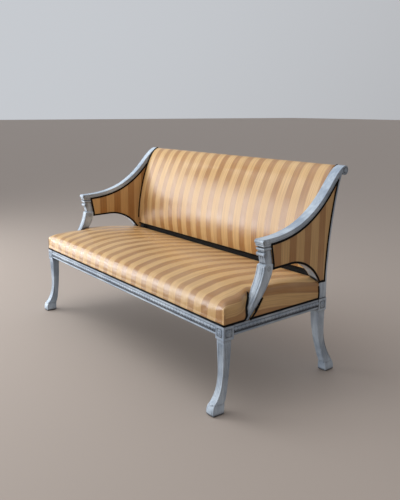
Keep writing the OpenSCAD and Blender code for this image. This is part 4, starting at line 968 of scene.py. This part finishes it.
gimpLay = {"frontTop": 452, "rearTop": 432, "postTop": 420, "front": (10, 108), "rear": (146, 550, 555),
           "step": 8, "seatOut": -1.5, "dipOut": -25, "dipReach": 48, "proud": (0.6, 0.9), "footLow": 461.5,
           "endFrom": 472}
half = settee["gimpWidth"] / 2
rim, gap = railTop + half, half + slack
upTo = lambda line, high: [p for p in thin(line, 6) if railTop <= p[1] <= high]
for side, word in bothSides:
    for kind in ("outer", "inner"):
        look = panelLook[kind]
        edges = panelEdges(gap, look["strip"])
        if kind == "inner":   # the back and the seat hide the rest of it
            edges.pop(2)
        spot = sideSpot(panelTrees[kind, side], side, look["gimpOut"], look["facing"])
        strips = [(thin(longer(edge, half), 9), spot) for edge in edges]
        makeGimp(f"{kind}_arm_braid_{word}", strips, f"{kind}_arm_gimp_{word}")
    lay = gimpLay
    frontSide, rearSide = upTo(supportFront(gap)[::-1], lay["frontTop"]), upTo(supportRear(gap), lay["rearTop"])
    spot = sideSpot(seatTree, side, lay["seatOut"], 1)
    level = lambda backs: ([(y, rim) for y in backs], spot)
    makeGimp(f"seat_side_braid_{word}", [
        level([1, *np.arange(*lay["front"], lay["step"]), frontSide[0][0] + 2]),
        level([rearSide[0][0] - 2, *np.arange(*lay["rear"][:2], lay["step"]), lay["rear"][2]]),
        (frontSide, sideSpot(seatTree, side, lay["dipOut"], 1, lay["dipReach"], lay["proud"][0])),
        (rearSide, sideSpot(seatTree, side, lay["seatOut"], 1, proud=lay["proud"][1])),
        ([(settee["postFront"] - half, z) for z in np.arange(railTop, lay["postTop"], 6)], spot)], f"seat_gimp_{word}")

def levelGimp(spot, width, height, count):   # a straight strip across the whole width
    return [(x, height) for x in np.linspace(-width, width, count)], spot

frontSpot = lambda tree, base: onCloth(tree, lambda x, height: place(x, base, height), Vector((0, -1, 0)))
railSet = settee["railSet"]
makeGimp("seat_front_braid", [levelGimp(frontSpot(seatTree, railSet), halfWidth(0, railSet), rim, 180)], "seat_gimp")
makeGimp("back_foot_braid", [levelGimp(frontSpot(backTree, backFoot - 41), halfWidth(backFoot - 40),
                                       gimpLay["footLow"] + half, 170)], "back_foot_gimp")
low, high = outsideLook["low"] + half, outsideLook["high"] - half
behindAt = lambda z: postAt(z) - outsideLook["behind"] + outsideLook["thick"]
edgeX = lambda z: halfWidth(behindAt(z)) - half
spot = onCloth(outsideTree, lambda x, height: place(x, behindAt(height), height), Vector((0, 1, 0)))
heights = np.linspace(low - half, high + half, 50)
makeGimp("outside_back_braid", [levelGimp(spot, edgeX(z), z, 160) for z in (low, high)]
         + [([(side * edgeX(z), z) for z in heights], spot) for side, _ in bothSides], "outside_back_gimp")
for side, word in bothSides:
    line = [point((y + innerSide * sideSin) / sideCos + 3, z) for y, z in backFaceLine if z > gimpLay["endFrom"]]
    spot = sideSpot(panelTrees["inner", side], side, panelLook["inner"]["gimpOut"], -1)
    makeGimp("back_end_braid_" + word, [(thin(line, 8), spot)])
print("braid is laid")


# Carving: low relief laid on the painted wood, its edges sunk a little under the surface

sunk = -0.8   # how deep a relief's plain parts lie under the wood

def reliefInto(points, faces, spot, across, along, lift, hidden=sunk):
    faces += slabFaces(len(along) - 1, len(across) - 1, len(points))
    for v in along:
        points += [spot(u, v, max(lift(u, v), hidden)) for u in across]
    for v in along:
        points += [spot(u, v, hidden - 0.8) for u in across]

def carved(name, points, faces, finish):
    return settle(outsideOut(makeMesh(name, points, faces, finish), 0), "painted_wood")

def bump(distance, reach):   # a rounded ridge: 1 on its line, 0 at its reach, below 0 beyond
    share = abs(distance) / reach
    return math.sqrt(1 - share * share) if share < 1 else -1.0

def between(half, count):
    return np.linspace(-half, half, count)

# Leaf tips and pearls along the rails

railCarving = {"pitch": 21, "rise": 3.3, "reach": 9.6, "bandTop": 346, "band": 17, "bandIn": 3,
               "pearls": 10.5, "pearl": 2.8, "grooveIn": 4.4, "step": 1.3}

def bandLift(u, z, look):
    t = (look["bandTop"] - z) / look["band"]
    if not 0.02 < t < 0.99:
        return -1
    s = ((u / look["pitch"]) % 1 - 0.5) * look["pitch"]
    reach = look["reach"] * (1 - t ** 2.4) ** 0.6 * (1 + 0.07 * math.cos(4 * math.pi * t))
    leaf = bump(s, max(reach, 0.3))
    if leaf > 0:
        leaf = look["rise"] * leaf ** 0.6 * (0.45 + 0.55 * t) - 1.5 * math.exp(-(s / 1.1) ** 2) * (1 - t)
        leaf -= 0.35 * (0.5 + 0.5 * math.cos((abs(s) * 0.9 + (z - look["bandTop"]) * 0.8) * 2.2))
    return max(leaf, bump(abs(s) - look["pitch"] / 2, 1.9) * look["rise"] * 0.8 if t > 0.35 else -1)

def carveRail(name, spotOn, start, end, finish, look):   # spotOn(along, inward, height)
    points, faces, middle = [], [], (start + end) / 2
    low = look["bandTop"] - look["band"]
    bandAt = lambda z: look["bandIn"] * (1 - math.sin(math.pi * min(1, max(0, (look["bandTop"] - z) / look["band"]))))
    reliefInto(points, faces, lambda u, z, lift: spotOn(middle + u, bandAt(z) - lift, z),
               between((end - start) / 2 - 1, int((end - start) / look["step"])),
               np.linspace(low + 0.2, look["bandTop"] - 0.2, 15), lambda u, z: bandLift(u, z, look))
    pearls = int((end - start) / look["pearls"])
    for k in range(pearls):
        u = middle + (k - (pearls - 1) / 2) * look["pearls"]
        pearl(points, faces, lambda a, b, lift: spotOn(u + a, look["grooveIn"] - 1.2 - lift, low - 1.5 + b),
              look["pearl"])
    return carved(name, points, faces, finish)

def circle(radius, around):
    return [(radius * math.cos(2 * math.pi * i / around), radius * math.sin(2 * math.pi * i / around))
            for i in range(around)]

def pearl(points, faces, spot, radius, rings=4, around=10):   # a domed bead on a surface
    start, last = len(points), len(points) + (rings - 1) * around
    for k in range(rings):
        turn = math.pi / 2 * k / rings
        points += [spot(*p, radius * math.sin(turn)) for p in circle(radius * math.cos(turn), around)]
    points += [spot(0, 0, radius), spot(0, 0, -0.6)]
    faces += tubeFaces(start, rings, around)
    for i, j in following([*range(around)]):
        faces += [[last + i, last + j, last + around], [start + i, last + around + 1, start + j]]

blockIn = settee["blockWidth"] + 0.5
carveRail("front_rail_leaves", lambda u, inward, z: place(u, inward, z), blockIn - halfFront, halfFront - blockIn,
          paintAcross, railCarving)
for side, word in bothSides:
    carveRail("side_rail_leaves_" + word, lambda u, inward, z: placeSide(-inward, u, z, side),
              blockIn, settee["depth"] - blockIn, paintDeep, railCarving)
print("rails are carved")

# Rosettes in the sunk panels of the blocks

rosetteLook = {"half": 16.6, "sunk": -1.5, "button": 4.8, "petals": 8, "petalEnd": 12.4, "ring": 14.2, "ringHalf": 1.7,
               "corner": 6.5}

def rosetteLift(u, v):
    look, r, angle, high = rosetteLook, math.hypot(u, v), math.atan2(v, u), -2.4
    if r < look["button"]:
        high = 3.0 * math.sqrt(1 - (r / look["button"]) ** 2 * 0.9)
    elif r < look["petalEnd"]:
        share = (r - look["button"]) / (look["petalEnd"] - look["button"])
        lobe = abs(math.cos(angle * look["petals"] / 2))
        high = 2.3 * math.sin(math.pi * (0.12 + 0.88 * share)) ** 0.7 * (0.15 + 0.85 * lobe ** 0.7) - 0.35
    if abs(r - look["ring"]) < look["ringHalf"]:
        high = max(high, look["sunk"] + 2.3 * bump(r - look["ring"], look["ringHalf"]))
    corner = math.hypot(abs(u) - look["half"], abs(v) - look["half"])
    if corner < look["corner"]:   # a small leaf in each corner
        leaf = bump(abs(abs(u) - abs(v)), 0.6 + corner * 0.45) * (1 - corner / look["corner"]) ** 0.3
        high = max(high, look["sunk"] + 1.6 * leaf)
    return high

def carveBlocks():
    points, faces, mid, y = [], [], settee["blockMid"], settee["blockWidth"] / 2
    grid = between(rosetteLook["half"], 40)
    for side, _ in bothSides:
        for spot in (lambda u, v, h: place(side * (halfFront - y) + u, -h, mid + v),
                     lambda u, v, h: place(side * (halfFront + h), y + u, mid + v),
                     lambda u, v, h: placeSide(h, settee["depth"] - y + u, mid + v, side)):
            reliefInto(points, faces, spot, grid, grid, rosetteLift, -2.4)
    return carved("block_rosettes", points, faces, paintUpright)

carveBlocks()

# Legs: reeds down the faces, and feet with a ring of tufts over the toes

legLook = {
    "front": {"depth": 36, "sweep": 34, "drop": 95, "kick": 80, "kickAngle": 44, "calf": (120, 56, 27)},
    "rear": {"depth": 43, "sweep": 68, "drop": 135, "kick": 105, "kickAngle": 55, "calf": (90, 61, 80)},
    "in": 4, "top": 300, "ankleHigh": 46, "ankleDeep": 48, "toeOut": 10, "toeHigh": 15, "heelIn": 5,
    "reedPitch": 9, "reedRise": 1.2, "tufts": 11, "tuftRise": 3.4, "toes": 7, "toeRise": 2.8,
}
halfLine = [point(21.5, 300), *sweepLine([16, 140], -90, 94 / 3, [17.5, 46], -90, 94 / 4, 12),
            *sweepLine([17.5, 46], -30, 1, [21.5, 15], -90, 15, 8)[1:],
            point(21.5, 6), point(19.7, 1.8), point(15.5, 0)]

def legLines(kind):   # shin and calf as falling lines of [in from the block's outward face, height]
    leg, look = legLook[kind], legLook
    ankle, heel = [-leg["sweep"], look["ankleHigh"]], look["ankleDeep"] - leg["sweep"]
    toe, turn = [-leg["sweep"] - look["toeOut"], look["toeHigh"]], 180 + leg["kickAngle"]
    foot = lambda x, way: [point(x, 6), point(x + 1.8 * way, 1.8), point(x + 6 * way, 0)]
    drop, angle, kick = leg["calf"]
    return (sweepLine([look["in"], look["top"]], -90, leg["drop"], ankle, turn, leg["kick"], 30)
            + sweepLine(ankle, turn, look["toeOut"], toe, 270, look["toeHigh"] / 2, 8)[1:] + foot(toe[0], 1),
            sweepLine([look["in"] + leg["depth"], look["top"]], -90, drop, [heel, look["ankleHigh"]], 180 + angle,
                      kick, 30)
            + foot(heel - look["heelIn"], -1))

def carveLeg(kind, side, word, look):
    shin, calf = legLines(kind)
    def spot(inward, across, z):   # in from the outward face, across from the leg's middle
        if kind == "front":
            return place(side * (halfFront - settee["blockWidth"] / 2 + across), inward, z)
        return placeSide(across - settee["blockWidth"] / 2, settee["depth"] - inward, z, side)
    points, faces = [], []
    lowEnd, highEnd = look["ankleHigh"] + 16, look["top"] - 8
    def reed(share, z):   # one reed for each whole share
        ends = min(1, (z - lowEnd) / 10, (highEnd - z) / 6)
        return look["reedRise"] * ends * max(-0.7, math.cos(2 * math.pi * (share - 0.5)))
    def sideSpotOut(n, z, lift):
        front, back = lineAt(shin, z), lineAt(calf, z)
        return spot(front + n * (back - front), lineAt(halfLine, z) + lift, z)
    heights = np.linspace(lowEnd, highEnd, 90)
    reliefInto(points, faces, lambda u, z, lift: spot(lineAt(shin, z) - lift, u, z), between(17.8, 37), heights,
               lambda u, z: sunk if abs(u) > lineAt(halfLine, z) - 0.6 else reed(u / look["reedPitch"], z))
    reliefInto(points, faces, sideSpotOut, np.linspace(0, 1, 37), heights,
               lambda n, z: reed(4 * n, z) if 0.03 < n < 0.97 else sunk)
    carveFoot(points, faces, spot, shin, calf, look)
    return carved(f"{kind}_leg_carving_{word}", points, faces, paintUpright)

def carveFoot(points, faces, spot, shin, calf, look, around=96):
    heights = [0.0, 0.7, 1.8, 3.5, 6, *np.linspace(8.5, 34, 14), *np.linspace(35.5, 66, 20)]
    start = len(points)
    for z in heights:
        front, back, half = lineAt(shin, z), lineAt(calf, z), lineAt(halfLine, z)
        mid, deep = (front + back) / 2, (back - front) / 2
        for i, (c, s) in enumerate(circle(1, around)):           # the first one looks forward
            a = 2 * math.pi * i / around
            x, y = half * math.copysign(abs(s) ** 0.45, s), deep * math.copysign(abs(c) ** 0.45, c)
            lift = -0.6
            if z <= 36:
                rise = math.sin(math.pi * min(1, (z + 3) / 39)) ** 0.6
                lobe = 0.35 + 0.65 * abs(math.cos(a * look["toes"] / 2)) ** 0.5
                lift = look["toeRise"] * rise * lobe * (0.35 + 0.65 * (0.5 + 0.5 * c)) - 0.4
            if z > 33:
                tip = 40 + 5 * abs(math.sin(a * look["tufts"] / 2))
                share = (z - tip) / (64 - tip)
                if 0 < share < 1:
                    lock = 0.55 + 0.45 * abs(math.cos(a * look["tufts"] / 2)) ** 0.6
                    lift = max(lift, look["tuftRise"] * (1 - share) ** 0.8 * min(1, share / 0.12 + 0.3) * lock)
            scale = 1 + lift / math.hypot(x, y)
            points.append(spot(mid - y * scale, x * scale, z))
    faces += tubeFaces(start, len(heights), around) + tubeEnds(start, len(heights), around)

for side, word in bothSides:
    for kind in ("front", "rear"):
        carveLeg(kind, side, word, legLook)
print("legs are carved")

# Arm supports: capital with a rolled scroll, leaves, and mouldings down the curve

roundSection = [(-0.5, -0.3), (-0.5, 0.1), (-0.43, 0.5), (-0.25, 0.87), (0, 1.0)]
roundSection += [(-across, high) for across, high in roundSection[-2::-1]]
supportLook = {"out": -4, "wide": 44, "footWide": 30, "foot": 355, "narrowFrom": 470, "middle": -26,
               "bossMid": (243, 541), "boss": 9.5, "button": 3.2, "petalEnd": 7,
               "rolls": ((220, 601, 9.5, 21.5), (209, 651.5, 7.5, 23.4))}   # on the neck, at the arm's end

def supportWide(z):
    look = supportLook
    return float(np.interp(z, [look["foot"], look["narrowFrom"]], [look["footWide"], look["wide"]]))

def spiralLift(u, v, radius, pitch, rise, eye):
    r, angle = math.hypot(u, v), math.atan2(v, u)
    if r > radius:
        return sunk
    if r < eye:
        return rise * 1.3 * math.sqrt(1 - (r / eye) ** 2 * 0.8)
    wave = math.cos(2 * math.pi * (r / pitch + angle / (2 * math.pi)))
    return rise * (0.35 + 0.65 * wave) * min(1, (radius - r) / 0.8 + 0.3)

def frontLift(u, z):   # long leaf and edge mouldings on the front of the curve
    high, edge = sunk, bump(abs(u) - supportWide(z) / 2 + 3.2, 1.9)
    clear = z > supportLook["foot"] + 12
    if edge > 0 and clear:
        high = 1.3 * edge
    t = (552 - z) / 150
    if 0 < t < 1:
        reach = 4 + 9 * math.sin(math.pi * (0.25 + 0.75 * t)) ** 0.8
        leaf = bump(u, reach * (0.82 + 0.18 * abs(math.sin(5 * math.pi * t))))
        if leaf > 0:
            veins = 0.5 + 0.5 * math.cos(abs(u) * 1.2 + z * 0.8)
            high = max(high, 2.6 * leaf ** 0.55 * (1 - 0.25 * veins) * min(1, t / 0.05, (1 - t) / 0.1)
                       + 0.9 * math.exp(-(u / 1.3) ** 2))
    elif t >= 1 and clear:
        high = max(high, 1.2 * bump(u, 1.8))
    return high

def leafRow(pitch, reach, least, t, u):   # how near a point is to the middle of its leaf in a row of them
    s = ((u / pitch + 0.5) % 1 - 0.5) * pitch
    return s, bump(s, reach * (1 - t ** 3) ** 0.5 + least) if 0 < t < 1 else -1

def neckLift(u, z):   # upright leaves on the neck
    t = (z - 563) / 34
    s, leaf = leafRow(11.6, 5.6, 0.2, t, u)
    return 2.3 * leaf ** 0.6 * (0.5 + 0.5 * t) - 0.7 * math.exp(-(s / 0.8) ** 2) if leaf > 0 else sunk

def capLift(u, z):   # small tongues round the cap
    leaf = leafRow(8.4, 3.9, 0.1, (657 - z) / 19, u)[1]
    return 1.6 * leaf ** 0.6 if leaf > 0 else sunk

def bossLift(u, v):   # a small rosette on the shoulder
    look, r, angle = supportLook, math.hypot(u, v), math.atan2(v, u)
    if r > look["boss"]:
        return sunk
    if r < look["button"]:
        return 2.6 * math.sqrt(1 - (r / (look["button"] + 0.2)) ** 2)
    if r < look["petalEnd"]:
        share = (r - look["button"]) / (look["petalEnd"] - look["button"])
        return 1.9 * math.sin(math.pi * share) ** 0.7 * (0.4 + 0.6 * abs(math.cos(3 * angle)))
    return 1.8 * bump(r - 8.2, 1.4)

def carveSupport(side, word, look):
    points, faces, uvs = [], [], []
    capHeights, boss = np.linspace(637.5, 657.5, 16), between(look["boss"] + 0.3, 32)
    def relief(spot, across, along, lift):   # spot gives out, back and height
        reliefInto(points, faces, lambda u, v, high: placeSide(*spot(u, v, high), side), across, along, lift)
    relief(lambda u, z, lift: (look["out"] - supportWide(z) / 2 + u, lineAt(supportShaft, z) - lift, z),
           between(21, 57), np.linspace(look["foot"] + 4, 554, 150), frontLift)
    relief(lambda u, z, lift: (look["middle"] + u, 216 + 12 * (616 - z) / 54 - lift, z),
           between(17.5, 50), np.linspace(563, 600, 30), neckLift)
    relief(lambda u, z, lift: (look["middle"] + u, 208 - lift, z), between(21, 60), capHeights, capLift)
    for out, way in ((look["out"], 1), (look["out"] - look["wide"], -1)):
        relief(lambda u, z, lift: (out + way * lift, 226.5 + u, z), between(16.8, 50), capHeights, capLift)
        relief(lambda u, v, lift: (out + way * lift, look["bossMid"][0] + u, look["bossMid"][1] + v), boss, boss,
               bossLift)
    for back, height, radius, half in look["rolls"]:
        roll(points, faces, lambda across, y, z: placeSide(look["middle"] + across, back + y, height + z, side),
             radius, half)
    carved("support_carving_" + word, points, faces, paintUpright)
    points, faces = [], []   # mouldings down the edges of both side faces
    for spot in (lambda y, z, lift: placeSide(look["out"] + lift, y, z, side),
                 lambda y, z, lift: placeSide(look["out"] - supportWide(z) - lift, y, z, side)):
        for line, top, inset in ((supportShaft, 552, 4.25), (supportBack, 520, -4.25)):
            kept = sorted([(y + inset, z) for y, z in line if 368 < z < top], key=lambda p: p[1])
            ribbon(points, faces, uvs, kept, spot, 2.6, 1.2, roundSection)
    carved("support_mouldings_" + word, points, faces, paintUpright)

def roll(points, faces, spot, radius, half, around=40):   # a turned roll with a spiral on both ends
    profile = [(s * (half - 1.5), radius - 1.6 * (1 - abs(s) ** 2.2) + 0.9 * math.exp(-(s / 0.16) ** 2))
               for s in between(0.95, 25)]
    profile = [(-half, radius - 0.8), (0.8 - half, radius), *profile, (half - 0.8, radius), (half, radius - 0.8)]
    faces += tubeFaces(len(points), len(profile), around) + tubeEnds(len(points), len(profile), around)
    for across, r in profile:
        points += [spot(across, *p) for p in circle(r, around)]
    grid = between(radius, 36)
    inside = lambda u, v: min(1, (radius - 0.5) / max(math.hypot(u, v), 0.01))   # keeps the relief within the round
    for end in (1, -1):
        reliefInto(points, faces, lambda u, v, high: spot(end * (half + high), u * inside(u, v), v * inside(u, v)),
                   grid, grid, lambda u, v: spiralLift(u, v, radius - 0.4, radius * 0.42, 1.3, radius * 0.2))

for side, word in bothSides:
    carveSupport(side, word, supportLook)

# Arms: reeds along both edges of the side faces, running into a spiral on the scrolls

armReeds = {"inset": 3.6, "low": 16.2, "width": 3.2, "high": 1.4, "spiralTurn": 560, "spiralEnd": 11.6, "scroll": 20}

def carveArm(side, word, look):
    points, faces, uvs = [], [], []
    reach = look["scroll"] - look["inset"]
    spiral = [scrollMid + (reach - (reach - look["spiralEnd"]) * a / look["spiralTurn"]) * turned(90 - a)
              for a in np.arange(8, look["spiralTurn"], 9)]
    upper, lower = [*beside(armTopLine, look["inset"]), *spiral], beside(armTopLine, look["low"])[:44]
    for out, way in ((-settee["armOut"], 1), (-innerSide, -1)):
        for line, step in ((upper, 5), (lower, 6)):
            ribbon(points, faces, uvs, thin(line, step), lambda y, z, lift: placeSide(out + way * lift, y, z, side),
                   look["width"], look["high"], roundSection)
    return carved("arm_reeds_" + word, points, faces, paintDeep)

for side, word in bothSides:
    carveArm(side, word, armReeds)
print("supports and arms are carved")


# Floor and light

stageLook = {"floor": tint(184, 170, 159), "bright": tint(232, 236, 242), "dim": tint(158, 152, 148),
             "airStrength": 0.71, "half": 60}

def setStage(look):   # the air is brighter on the window's side
    finish = newFinish("paleFloor", {"Base Color": look["floor"], "Roughness": 0.7})
    corners = [(look["half"] * x, look["half"] * y, 0) for x, y in ((-1, -1), (1, -1), (1, 1), (-1, 1))]
    makeMesh("floor", corners, [[0, 1, 2, 3]], finish, smooth=False)
    scene.world = bpy.data.worlds.new("air")
    scene.world.use_nodes = True
    tree = scene.world.node_tree
    air = tree.nodes["Background"].inputs
    way = addNode(tree, "VectorMath", {0: addNode(tree, "TexCoord", None, "Generated"), 1: (-0.8, -0.3, 0.5)}, "Value",
                  operation="DOT_PRODUCT")
    plug(air["Color"], blendColour(spread(way, -0.8, 0.8), look["dim"], look["bright"]))
    plug(air["Strength"], look["airStrength"])

lights = [   # name, stand, aim, size, power, colour
    ("window", (-3.2, -2.5, 1.2), (0.1, 0.1, 0.6), (3.0, 2.1), 106, (0.93, 0.97, 1.0)),
    ("bounce", (-2.3, -2.0, 0.3), (0.0, -0.1, 0.42), (2.6, 0.6), 16, (0.96, 0.98, 1.0)),
    ("ceiling", (-0.6, -1.0, 3.4), (0.0, 0.0, 0.3), (2.6, 2.6), 40, (0.97, 0.99, 1.0)),
]

def setLight(name, stand, aim, size, power, colour):
    data = bpy.data.lights.new(name, "AREA")
    data.shape, data.size, data.size_y = "RECTANGLE", *size
    data.energy, data.color = power, colour
    lamp = shown(name, data)
    lamp.location = stand
    lamp.rotation_euler = (Vector(aim) - Vector(stand)).to_track_quat("-Z", "Y").to_euler()

setStage(stageLook)
for look in lights:
    setLight(*look)
scene.view_settings.view_transform = "Standard"
print("floor and lights stand")
